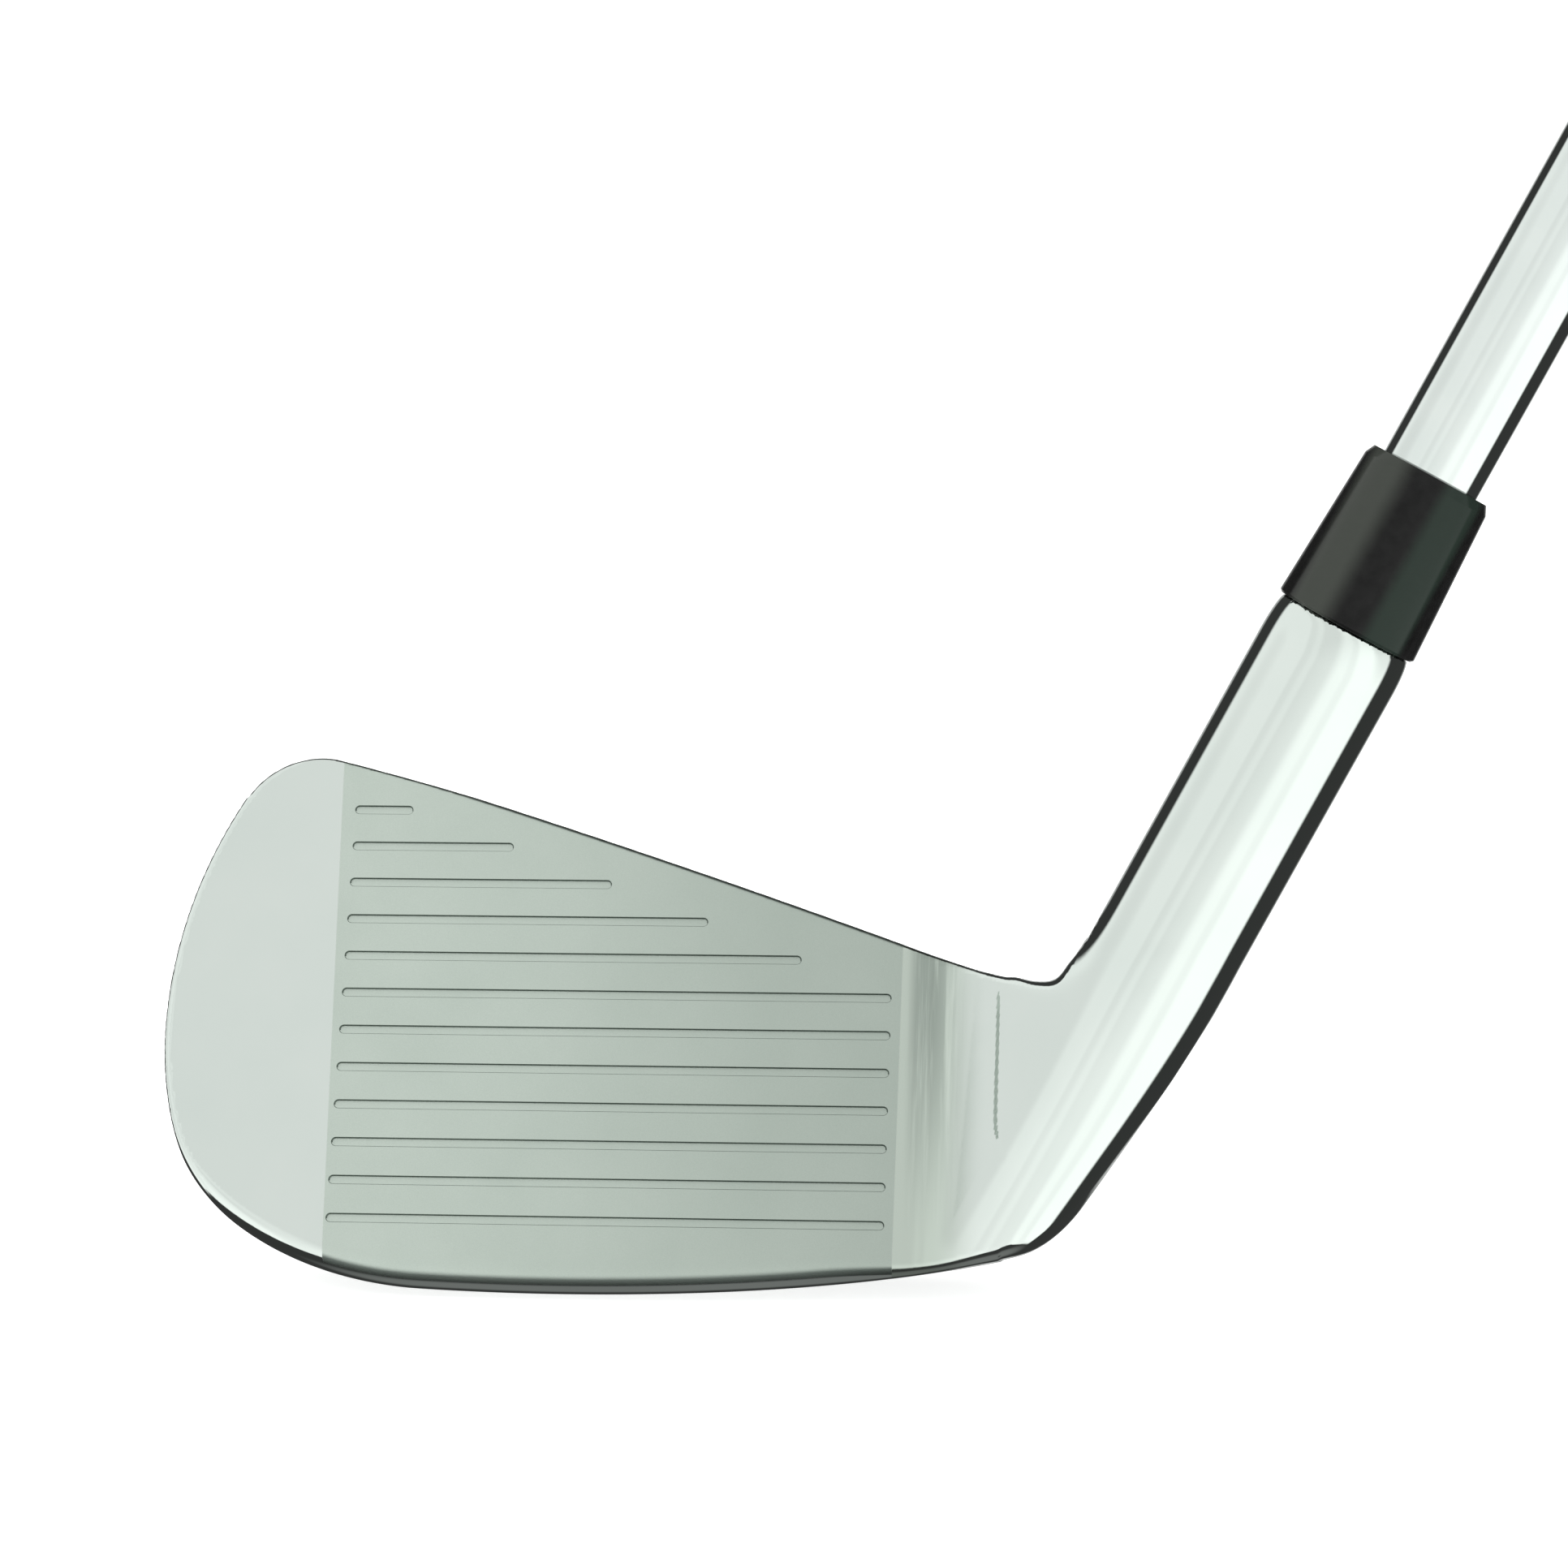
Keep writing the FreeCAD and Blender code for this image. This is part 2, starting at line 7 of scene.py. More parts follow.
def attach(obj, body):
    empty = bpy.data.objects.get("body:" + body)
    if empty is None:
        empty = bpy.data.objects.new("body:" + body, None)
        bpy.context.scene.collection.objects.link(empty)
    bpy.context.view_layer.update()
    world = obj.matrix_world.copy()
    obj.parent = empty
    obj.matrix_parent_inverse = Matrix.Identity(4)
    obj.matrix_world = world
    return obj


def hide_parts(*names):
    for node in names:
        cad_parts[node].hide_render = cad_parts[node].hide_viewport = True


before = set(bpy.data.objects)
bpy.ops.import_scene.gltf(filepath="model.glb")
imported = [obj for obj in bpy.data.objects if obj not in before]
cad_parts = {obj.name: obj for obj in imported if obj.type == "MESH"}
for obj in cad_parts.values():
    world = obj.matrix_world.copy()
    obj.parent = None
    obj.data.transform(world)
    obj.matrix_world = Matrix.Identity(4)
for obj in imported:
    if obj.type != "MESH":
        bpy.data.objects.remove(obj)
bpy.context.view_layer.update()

SCENE = bpy.context.scene
MM = 0.001

# ------------------------------------------------------------------ driving dimensions, mm
# Places on the face are (x, v): x towards the heel, v up the face from the leading edge.
# Places on the hosel and shaft are k, the distance along the shaft axis from the ground.
LOFT = math.radians(26.0)
LIE = math.radians(61.5)
FACE_RISE = 2.0
NORMAL = np.array([0.0, -math.cos(LOFT), math.sin(LOFT)])
UPFACE = np.array([0.0, math.sin(LOFT), math.cos(LOFT)])
FACE_ORIGIN = np.array([0.0, 0.0, FACE_RISE])
SHAFT_DIR = np.array([math.cos(LIE), 0.0, math.sin(LIE)])
GROUND_AXIS = np.array([34.94, 4.2, 0.0])

# Hosel: plain radius, top, smaller neck radius and the height of the shoulder between them.
# Its toe side leaves the round at RAMP_TURN as a ramp, which fades out up the hosel and round its back.
# Low down its front stands back a little, and its heel side draws in.
HOSEL_R = 6.75
HOSEL_TOP = 71.5
HOSEL_NECK_R = 6.25
SHOULDER = 3.6
BORE_R = 4.85
BORE_BOTTOM = 39.8
RAMP_TURN = math.radians(50.0)
RAMP_FADE_START = 27.0
RAMP_FADE = 13.0
RAMP_BACK_TURN = 2.97
RAMP_BACK_FADE = 1.05
STAND_BACK = 1.4
STAND_BACK_TOP = 36.0
DRAW_TOP = 35.0
DRAW_LENGTH = 18.5
DRAW = 1.3
DRAW_MOST = 3.0

# Faint milled step beside the hosel: place, depth, and the heights it runs between.
MILLED_X = 37.2
MILLED_DEPTH = 0.035
MILLED_LOW = 9.0
MILLED_HIGH = 29.0

# The spine runs along the blade, then turns about a pivot above the heel into the hosel. Its station
# is FAN_SCALE times the angle there, and the blade's section becomes the hosel's between two stations.
# The keys are (angle in degrees, distance from the pivot) of the crook and of the heel.
PIVOT_X = 38.0
PIVOT_Z = 38.3
FAN_SCALE = 22.0
FAN_END = FAN_SCALE * LIE
MORPH_START = -2.5
MORPH_END = 25.0
CROOK_KEYS = ((0.0, 7.97), (8.0, 7.98), (20.0, 8.6), (31.0, 9.1), (43.0, 8.8), (54.0, 8.75), (61.5, 8.84))
HEEL_KEYS = (
    (0.0, 34.5), (5.0, 33.7), (10.0, 32.15), (20.0, 28.1), (30.0, 25.35), (38.0, 23.9),
    (46.0, 22.9), (54.0, 22.4), (61.5, 22.34),
)

# Blade outline. The topline is a polynomial in x. The camber has a centre, a square and a fourth-power
# term. The toe's rise is an ellipse: start, half width, height. Its arcs are centre x, centre v, radius,
# and the top one runs off at TOE_TURN into a nearly straight edge.
TOPLINE = (43.86, -0.3405, -0.00055)
CAMBER = (-3.0, 0.0018, 2.3e-7)
TOE_RISE = (-16.0, 25.5, 14.9)
TOE_TOP = (-28.3, 44.0, 8.2)
TOE_UPPER = (5.4, 25.0, 47.0)
TOE_LOWER = (-6.6, 25.0, 35.0)
TOE_TURN = math.radians(73.4)

# Blade section: top thickness, sole arc, trailing edge, muscle slope and corner radii.
TOP_THICK = 5.6
SOLE_R = 34.0
SOLE_Y = 8.5
TRAIL_Y = 19.4
TRAIL_Z = 5.0
MUSCLE_LEAN = math.radians(24.0)
TOP_FRONT_R = 0.9
TOP_BACK_R = 1.8
SOLE_BACK_R = 3.0
SOLE_FRONT_R = 2.6

# Cavity, badge and toe weight.
RIM = 5.5
FACE_T = 3.0
CAVITY_LOW = 17.5
CAVITY_TOE = -27.0
CAVITY_HEEL = 25.5
BADGE_GAP = 0.35
PAD_T = 1.0
BADGE_T = 0.8
WEIGHT_X = -26.0
WEIGHT_Z = 8.8
WEIGHT_R = 4.0
WEIGHT_FRONT = 9.6
WEIGHT_REAR = 17.2

# Score lines: number, height of the lowest, pitch, centres of the round ends, half width, how many
# run the full width, and how the upper ones stay clear of the topline.
# Each cutter is a stack of rings: distance out of the face, half width and upward lean.
LINES = 12
LINE_FIRST = 6.0
LINE_PITCH = 3.7
LINE_TOE = -24.4
LINE_HEEL = 26.8
LINE_HALF = 0.4
FULL_LINES = 7
TOP_MARGIN = 3.5
MARGIN_GROWTH = 0.48
LINE_RINGS = (
    (0.5, 0.62, 0.0), (0.0, 0.45, 0.0), (-0.10, 0.40, 0.02), (-0.20, 0.32, 0.05), (-0.24, 0.14, 0.06),
)

# Shaft, ferrule and grip.
TIP_R = 4.70
BUTT_R = 7.62
SHAFT_BOTTOM = 41.3
SHAFT_TOP = 945.0
FIRST_STEP = 226.0
STEPS = 14
STEP_PITCH = 31.75
CLUB_LENGTH = 952.5
GRIP_LENGTH = 267.0
GRIP_FLOOR = 945.2
CAP_T = 4.5
CAP_R = 14.6
VENT_R = 1.5
FERRULE_PROFILE = ((4.70, 71.5), (6.65, 71.5), (6.9, 71.75), (6.2, 86.3), (5.75, 87.2), (4.70, 87.2))

# Camera, metres.
CAMERA_PLACE = (0.057882, -0.47535, 0.085716)
CAMERA_FORWARD = (-0.08311, 0.99348, -0.07802)
CAMERA_UP = (-0.00827, 0.0776, 0.99695)
CAMERA_LENS = 120.38683


# ------------------------------------------------------------------ curves and joins
def smooth(u):
    u = np.clip(u, 0.0, 1.0)
    return u * u * u * (10 - 15 * u + 6 * u * u)


def soft_min(a, b, k):
    h = np.maximum(k - np.abs(a - b), 0.0) / k
    return np.minimum(a, b) - h * h * k / 4


def round_max(a, b, r):
    """Intersection of two walls with their corner rounded to radius r."""
    inner = np.minimum(np.maximum(a, b), -r)
    return inner + np.hypot(np.maximum(a + r, 0.0), np.maximum(b + r, 0.0))


def through_keys(keys, t):
    """Smooth curve through (place, value) keys: cubic with finite-difference slopes."""
    xs = np.array([k[0] for k in keys])
    ys = np.array([k[1] for k in keys])
    n = len(xs)
    lo = np.maximum(np.arange(n) - 1, 0)
    hi = np.minimum(np.arange(n) + 1, n - 1)
    slopes = (ys[hi] - ys[lo]) / (xs[hi] - xs[lo])
    t = np.clip(t, xs[0], xs[-1])
    i = np.clip(np.searchsorted(xs, t, side="right") - 1, 0, n - 2)
    h = xs[i + 1] - xs[i]
    u = (t - xs[i]) / h
    a = (1 + 2 * u) * (1 - u) ** 2
    b = u * (1 - u) ** 2
    c = u * u * (3 - 2 * u)
    d = u * u * (u - 1)
    return a * ys[i] + b * h * slopes[i] + c * ys[i + 1] + d * h * slopes[i + 1]


def halving(before, near, far, like):
    """Where a condition that holds at near stops holding on the way to far."""
    near = np.full_like(like, near)
    far = np.full_like(like, far)
    for _ in range(40):
        middle = (near + far) / 2
        holds = before(middle)
        near = np.where(holds, middle, near)
        far = np.where(holds, far, middle)
    return far


def topline(x):
    return TOPLINE[0] + TOPLINE[1] * x + TOPLINE[2] * x * x


def sole_rise(x):
    """Height of the sole's edge: a shallow camber, then an elliptic rise at the toe."""
    u = x - CAMBER[0]
    rise = CAMBER[1] * u * u + CAMBER[2] * u ** 4
    start, a, b = TOE_RISE
    over = np.maximum((start - x) / a, 0.0)
    near = np.minimum(over, 0.93)
    flat = np.sqrt(1 - near * near)
    return rise + b * (1 - flat) + b * near / flat * (over - near)


def shaft_place(x, z):
    """Distance along the shaft axis and across it, seen from the front."""
    k = (x - GROUND_AXIS[0]) * SHAFT_DIR[0] + z * SHAFT_DIR[2]
    across = (x - GROUND_AXIS[0]) * SHAFT_DIR[2] - z * SHAFT_DIR[0]
    return k, across


# ------------------------------------------------------------------ front wall of the head
def heel_side(k, radius):
    """Half width of the hosel on its heel side, which draws in towards the sole."""
    draw = DRAW * (np.maximum(DRAW_TOP - k, 0.0) / DRAW_LENGTH) ** 1.5
    return radius - np.minimum(draw, DRAW_MOST)


def hosel_front(across, y, k, radius):
    """Hosel cylinder; low down its toe side runs off along a tangent ramp towards the face."""
    across = np.where(across > 0, across * radius / heel_side(k, radius), across)
    aside = np.hypot(across, y)
    turn = np.arctan2(-across, -y)
    past = np.maximum(turn - RAMP_TURN, 0.0)
    keep = (1 - smooth((k - RAMP_FADE_START) / RAMP_FADE)) * smooth((RAMP_BACK_TURN - turn) / RAMP_BACK_FADE)
    value = aside * (1 - keep * (1 - np.cos(past))) - radius
    behind = (y > 0) & (np.abs(across) < radius)
    return np.where(behind, np.minimum(value, np.abs(across) - radius - 14.0 * y), value)


def milled_step(x, v):
    """Depth of the faint step beside the hosel, which bends towards the heel at its foot."""
    bend = 1.4 * np.clip((15.0 - v) / 5.0, 0.0, 1.0) ** 2
    ends = smooth((v - MILLED_LOW) / 5.0) * smooth((MILLED_HIGH - v) / 3.0)
    return MILLED_DEPTH * smooth((x - MILLED_X - bend) / 0.55) * ends


def front_wall(x, y, z, radius):
    """Flat face joined to the ramp and the hosel by a fillet that grows upwards."""
    zf = z - FACE_RISE
    n = zf * math.sin(LOFT) - y * math.cos(LOFT)
    v = zf * math.cos(LOFT) + y * math.sin(LOFT)
    k, across = shaft_place(x, z)
    back = STAND_BACK * smooth((STAND_BACK_TOP - k) / STAND_BACK_TOP)
    stem = hosel_front(across, y - GROUND_AXIS[1] - back, k, radius)
    return soft_min(n, stem, 1.4 + 0.053 * np.clip(z, 0.0, 40.0)) - milled_step(x, v)


def front_depth(x, z, radius):
    """Where the front wall stands, y, at the given x and z."""
    return halving(lambda y: front_wall(x, y, z, radius) > 0, -10.0, 30.0, x)


def heel_reach(angle, radius):
    """Distance from the pivot to the heel side of the hosel."""
    def within(q):
        k, across = shaft_place(PIVOT_X + q * np.sin(angle), PIVOT_Z - q * np.cos(angle))
        return across < heel_side(k, radius)

    return halving(within, 10.0, 60.0, angle)


# ------------------------------------------------------------------ values along the spine
def hosel_radius(s):
    """Radius of the hosel, which shrinks round its shoulder to the neck."""
    k = shaft_place(PIVOT_X, PIVOT_Z)[0] + (s - FAN_END)
    left = np.clip(k - (HOSEL_TOP - SHOULDER), 0.0, SHOULDER)
    return HOSEL_R - (HOSEL_R - HOSEL_NECK_R) * (1 - np.sqrt(1 - (left / SHOULDER) ** 2))


def reaches(s, x, deg, radius):
    """Distances from the spine's pivot line to the upper and the lower edge of the head."""
    blade_in = PIVOT_Z - FACE_RISE - topline(x) * math.cos(LOFT)
    crook_in = soft_min(blade_in, 8.05, 2.0)
    q_in = np.where(s < 0, crook_in, through_keys(CROOK_KEYS, deg))
    q_out = np.where(s < 0, PIVOT_Z - sole_rise(x), through_keys(HEEL_KEYS, deg))
    beyond = s >= FAN_END
    axis_q = -shaft_place(PIVOT_X, PIVOT_Z)[1]
    q_in = np.where(beyond, axis_q - radius, q_in)
    q_out = np.where(beyond, axis_q + radius, q_out)
    reach = heel_reach(np.radians(deg), radius)
    return q_in, np.where((s > 0) & ~beyond, np.minimum(q_out, reach), q_out)


def station_tables():
    """Values that depend only on the station along the spine of the head."""
    s = np.arange(-86.0, 64.0, 0.1)
    x = PIVOT_X + np.minimum(s, 0.0)
    deg = np.degrees(np.clip(s, 0.0, FAN_END) / FAN_SCALE)
    radius = hosel_radius(s)
    q_in, q_out = reaches(s, x, deg, radius)
    w = smooth((s - MORPH_START) / (MORPH_END - MORPH_START))
    angle = np.radians(deg)
    along = np.maximum(s - FAN_END, 0.0)
    xc = np.where(s < 0, x, PIVOT_X + q_in * np.sin(angle) + along * SHAFT_DIR[0])
    zc = np.where(s < 0, PIVOT_Z - q_in, PIVOT_Z - q_in * np.cos(angle) + along * SHAFT_DIR[2])
    front_c = front_depth(xc, zc, radius)
    return s, {"q_in": q_in, "q_out": q_out, "w": w, "radius": radius, "front_c": front_c}


STATIONS, TABLES = station_tables()


def spine_place(x, z):
    """Station along the spine and distance from its pivot line."""
    dx = x - PIVOT_X
    dz = PIVOT_Z - z
    angle = np.arctan2(dx, dz)
    fan = (dx >= 0) & (angle <= LIE)
    past = (dx >= 0) & (angle > LIE)
    along = dx * math.cos(LIE) - dz * math.sin(LIE)
    s = np.where(fan, FAN_SCALE * angle, np.where(past, FAN_END + along, dx))
    q = np.where(fan, np.hypot(dx, dz), np.where(past, dx * math.sin(LIE) + dz * math.cos(LIE), dz))
    return s, q


# ------------------------------------------------------------------ fields of the head and badge
def skin(x, y, z):
    """Signed field of the forging: negative inside."""
    s, q = spine_place(x, z)
    q_in, q_out, w, radius, front_c = (np.interp(s, STATIONS, TABLES[key]) for key in TABLES)
    zz = PIVOT_Z - q
    rise = PIVOT_Z - q_out
    face = (zz - FACE_RISE) * math.sin(LOFT) - y * math.cos(LOFT)
    front = front_wall(x, y, z, radius)
    muscle = (y - TRAIL_Y) * math.cos(MUSCLE_LEAN) + (zz - TRAIL_Z - rise) * math.sin(MUSCLE_LEAN)
    back = (1 - w) * soft_min(-face - TOP_THICK, muscle, 7.0) + w * (y - GROUND_AXIS[1] - radius)
    tilt = (1 - w) * LOFT
    inner = (q_in - q) * np.cos(tilt) + (y - front_c) * np.sin(tilt)
    arc = np.hypot(y - SOLE_Y, zz - rise - SOLE_R) - SOLE_R
    outer = (1 - w) * arc + w * (q - q_out)
    near_front = 0.5 + 0.5 * np.tanh((front - back) / 1.5)
    near_top = 0.5 + 0.5 * np.tanh((inner - outer) / 3.0)
    r = corner_radius(x, w, radius, near_front, near_top)
    return round_max(np.maximum(front, back), np.maximum(inner, outer), r)


def corner_radius(x, w, radius, near_front, near_top):
    """Rounding of the section's four corners, which turns into the round hosel."""
    low = (SOLE_FRONT_R - 1.5 * smooth((x - 20.0) / 16.0)) * (1 - w) ** 2
    front = near_top * (TOP_FRONT_R + 2.0 * w) * (1 - w) + (1 - near_top) * low
    back = (near_top * TOP_BACK_R + (1 - near_top) * SOLE_BACK_R) * (1 - w) + radius * w
    return near_front * front + (1 - near_front) * back


def toe_wall(x, v):
    """Distance outside the toe outline in the face plane."""
    join = math.atan2(TOE_TOP[1] - TOE_UPPER[1], TOE_TOP[0] - TOE_UPPER[0])
    low = np.hypot(x - TOE_LOWER[0], v - TOE_LOWER[1]) - TOE_LOWER[2]
    mid = np.hypot(x - TOE_UPPER[0], v - TOE_UPPER[1]) - TOE_UPPER[2]
    tx = x - TOE_TOP[0]
    tv = v - TOE_TOP[1]
    high = np.hypot(tx, tv) - TOE_TOP[2]
    straight = tx * math.cos(TOE_TURN) + tv * math.sin(TOE_TURN) - TOE_TOP[2]
    along = np.maximum(tx * math.sin(TOE_TURN) - tv * math.cos(TOE_TURN), 0.0)
    turn = np.arctan2(tv, tx)
    beside = (turn < TOE_TURN) & (turn > TOE_TURN - math.pi)
    high = np.where(beside, straight - 0.05 * along, high)
    bend = np.arctan2(v - TOE_UPPER[1], x - TOE_UPPER[0])
    upper = np.where((bend < join) & (v > TOE_UPPER[1]), high, mid)
    lower_free = (v < TOE_LOWER[1]) & (x > TOE_LOWER[0])
    return np.where(lower_free, -30.0, np.where(v > TOE_UPPER[1], upper, low))


def cavity_outline(x, v, inset, r):
    """Distance outside the cavity outline, drawn in by inset, with corners of radius r."""
    drop = 1.05 * RIM + 0.2
    v0 = topline(CAVITY_TOE) - drop
    v1 = topline(CAVITY_HEEL) - drop
    width = CAVITY_HEEL - CAVITY_TOE
    toe = np.hypot(x - TOE_UPPER[0], v - TOE_UPPER[1]) - (TOE_UPPER[2] - RIM)
    top = ((v - v0) * width - (x - CAVITY_TOE) * (v1 - v0)) / math.hypot(width, v1 - v0)
    walls = [wall + inset for wall in (toe, top, CAVITY_LOW - v, x - CAVITY_HEEL)]
    most = np.maximum(np.maximum(walls[0], walls[1]), np.maximum(walls[2], walls[3]))
    total = sum(np.maximum(wall + r, 0.0) ** 2 for wall in walls)
    return np.minimum(most, -r) + np.sqrt(total)


def cavity(x, v, d):
    """Pocket behind the face, open to the rear, with its floor at the face thickness."""
    return round_max(cavity_outline(x, v, 0.0, 3.0), FACE_T - d, 0.5)


def badge_field(p):
    """Badge plate in face coordinates: rounded rim, a channel along it and slanted cuts."""
    x, v, d = p[..., 0], p[..., 1], -p[..., 2]
    edge = cavity_outline(x, v, BADGE_GAP, 2.6)
    rear = FACE_T + PAD_T + BADGE_T
    f = round_max(edge, np.abs(d - rear + BADGE_T / 2) - BADGE_T / 2, 0.2)
    channel = np.maximum(np.abs(edge + 2.6) - 0.35, rear - 0.2 - d)
    f = round_max(f, -channel, 0.08)
    slant = (x * 0.90 + v * 0.44) / 2.6
    bars = (np.abs(slant - np.floor(slant) - 0.5) - 0.22) * 2.6
    bars = np.maximum(np.maximum(bars, edge + 4.6), np.abs(x + 17.0) - 8.0)
    return round_max(f, -np.maximum(bars, rear - 0.18 - d), 0.08)


def head_field(p):
    """The forging with its toe, cavity, weight pocket, flat hosel top and bore."""
    x, y, z = p[..., 0], p[..., 1], p[..., 2]
    v = (p - FACE_ORIGIN) @ UPFACE
    n = (p - FACE_ORIGIN) @ NORMAL
    r_toe = 0.7 + 1.5 * smooth((16.0 - v) / 16.0)
    f = skin(x, y, z)
    f = np.where(x < 10.0, round_max(f, toe_wall(x, v), r_toe), f)
    f = round_max(f, -cavity(x, v, -n), 0.45)
    pocket = np.maximum(np.hypot(x - WEIGHT_X, z - WEIGHT_Z) - WEIGHT_R, WEIGHT_FRONT - y)
    f = round_max(f, -pocket, 0.2)
    k, across = shaft_place(x, z)
    radial = np.hypot(across, y - GROUND_AXIS[1])
    f = np.maximum(f, k - HOSEL_TOP)
    return np.maximum(f, -np.maximum(radial - BORE_R, BORE_BOTTOM - k))


# ------------------------------------------------------------------ meshing a field
def gradient(field, p, step=0.01):
    g = np.empty_like(p)
    for axis in range(3):
        d = np.zeros(3)
        d[axis] = step
        g[:, axis] = (field(p + d) - field(p - d)) / (2 * step)
    return g


def sampled(field, low, high, cell):
    """Values of a field on a grid, one slab at a time."""
    axes = [np.arange(low[i], high[i] + cell, cell) for i in range(3)]
    values = np.empty([len(a) for a in axes])
    yy, zz = np.meshgrid(axes[1], axes[2], indexing="ij")
    for i, x in enumerate(axes[0]):
        values[i] = field(np.stack([np.full_like(yy, x), yy, zz], axis=-1))
    return values


def mixed_cells(inside):
    """Cells with corners on both sides of the surface, and the number of each."""
    shape = inside.shape
    count = np.zeros([n - 1 for n in shape], dtype=np.int8)
    for a in (0, 1):
        for b in (0, 1):
            for c in (0, 1):
                count += inside[a:shape[0] - 1 + a, b:shape[1] - 1 + b, c:shape[2] - 1 + c]
    cells = np.argwhere((count > 0) & (count < 8))
    index = np.full(count.shape, -1, dtype=np.int64)
    index[tuple(cells.T)] = np.arange(len(cells))
    return cells, index


def cell_centres(values, cells):
    """Mean of the places where the twelve edges of each cell cross the surface."""
    total = np.zeros((len(cells), 3))
    crossings = np.zeros(len(cells))
    for axis in range(3):
        others = [i for i in range(3) if i != axis]
        for a in (0, 1):
            for b in (0, 1):
                start = np.zeros(3, dtype=np.int64)
                start[others] = (a, b)
                end = start.copy()
                end[axis] = 1
                f0 = values[tuple((cells + start).T)]
                f1 = values[tuple((cells + end).T)]
                hit = (f0 < 0) != (f1 < 0)
                place = np.tile(start.astype(float), (len(cells), 1))
                place[:, axis] = np.where(hit, f0 / np.where(hit, f0 - f1, 1.0), 0.0)
                total += np.where(hit[:, None], place, 0.0)
                crossings += hit
    return total / crossings[:, None]


def crossed_quads(inside, index):
    """One quad round every grid edge that crosses the surface."""
    quads = []
    for axis in range(3):
        others = [i for i in range(3) if i != axis]
        first = np.delete(inside, -1, axis=axis)
        second = np.delete(inside, 0, axis=axis)
        for crossed, flip in ((first & ~second, axis == 1), (~first & second, axis != 1)):
            edges = np.argwhere(crossed)
            ring = []
            for shift in ((-1, -1), (0, -1), (0, 0), (-1, 0)):
                at = edges.copy()
                at[:, others] += shift
                ring.append(index[tuple(at.T)])
            ring = np.stack(ring, axis=1)
            quads.append(ring[:, ::-1] if flip else ring)
    return np.concatenate(quads)


def net(field, low, high, cell):
    """Surface net of a field: one vertex per mixed cell, one quad per crossed edge."""
    values = sampled(field, low, high, cell)
    inside = values < 0
    cells, index = mixed_cells(inside)
    points = np.array(low) + (cells + cell_centres(values, cells)) * cell
    return points, crossed_quads(inside, index)


def settle(field, points, limit, rounds=4):
    """Moves the vertices onto the surface along the field's gradient."""
    for _ in range(rounds):
        g = gradient(field, points)
        f = field(points)
        move = g * (f / np.maximum((g * g).sum(1), 0.05))[:, None]
        size = np.linalg.norm(move, axis=1, keepdims=True)
        move *= np.minimum(1.0, limit / np.maximum(size, 1e-9))
        points = points - move
    return points


def mesh_object(name, points, faces, scale=MM):
    """Object from an array of equal faces, or from a list of mixed ones."""
    mesh = bpy.data.meshes.new(name)
    points = np.asarray(points, dtype=float) * scale
    if isinstance(faces, np.ndarray):
        count, size = faces.shape
        mesh.vertices.add(len(points))
        mesh.vertices.foreach_set("co", points.ravel())
        mesh.loops.add(count * size)
        mesh.loops.foreach_set("vertex_index", faces.ravel().astype(np.int32))
        mesh.polygons.add(count)
        mesh.polygons.foreach_set("loop_start", np.arange(0, count * size, size, dtype=np.int32))
        mesh.update(calc_edges=True)
    else:
        mesh.from_pydata([tuple(p) for p in points], [], faces)
    mesh.validate()
    obj = bpy.data.objects.new(name, mesh)
    SCENE.collection.objects.link(obj)
    return obj


def applied(obj):
    """Bakes the modifiers of an object into its mesh."""
    graph = bpy.context.evaluated_depsgraph_get()
    mesh = bpy.data.meshes.new_from_object(obj.evaluated_get(graph), depsgraph=graph)
    obj.modifiers.clear()
    old = obj.data
    obj.data = mesh
    bpy.data.meshes.remove(old)
    mesh.name = obj.name


def field_normals(obj, field):
    """Exact surface normals wherever a face follows the field, flat ones on cut walls."""
    mesh = obj.data
    mesh.polygons.foreach_set("use_smooth", np.ones(len(mesh.polygons), dtype=bool))
    co = np.empty(len(mesh.vertices) * 3)
    mesh.vertices.foreach_get("co", co)
    g = gradient(field, co.reshape(-1, 3) / MM)
    g /= np.maximum(np.linalg.norm(g, axis=1, keepdims=True), 1e-9)
    loop_vert = np.empty(len(mesh.loops), dtype=np.int32)
    mesh.loops.foreach_get("vertex_index", loop_vert)
    totals = np.empty(len(mesh.polygons), dtype=np.int32)
    mesh.polygons.foreach_get("loop_total", totals)
    flat = np.empty(len(mesh.polygons) * 3)
    mesh.polygons.foreach_get("normal", flat)
    flat = np.repeat(flat.reshape(-1, 3), totals, axis=0)
    exact = g[loop_vert]
    follows = (exact * flat).sum(1) > 0.65
    normals = np.where(follows[:, None], exact, flat)
    mesh.normals_split_custom_set([tuple(n) for n in normals])


# ------------------------------------------------------------------ head and badge
def on_face(x, v, n):
    """Place of a point given by x, height up the face and distance out of it."""
    along = np.asarray(x)[..., None] * np.array([1.0, 0.0, 0.0])
    return FACE_ORIGIN + along + np.asarray(v)[..., None] * UPFACE + np.asarray(n)[..., None] * NORMAL


def line_end(i, v):
    """Heel end of a score line; the upper ones stop short of the topline."""
    x = LINE_HEEL
    if i >= FULL_LINES:
        margin = TOP_MARGIN + MARGIN_GROWTH * (LINES - 1 - i)
        while topline(x + LINE_HALF) < v + margin:
            x -= 0.05
    return x


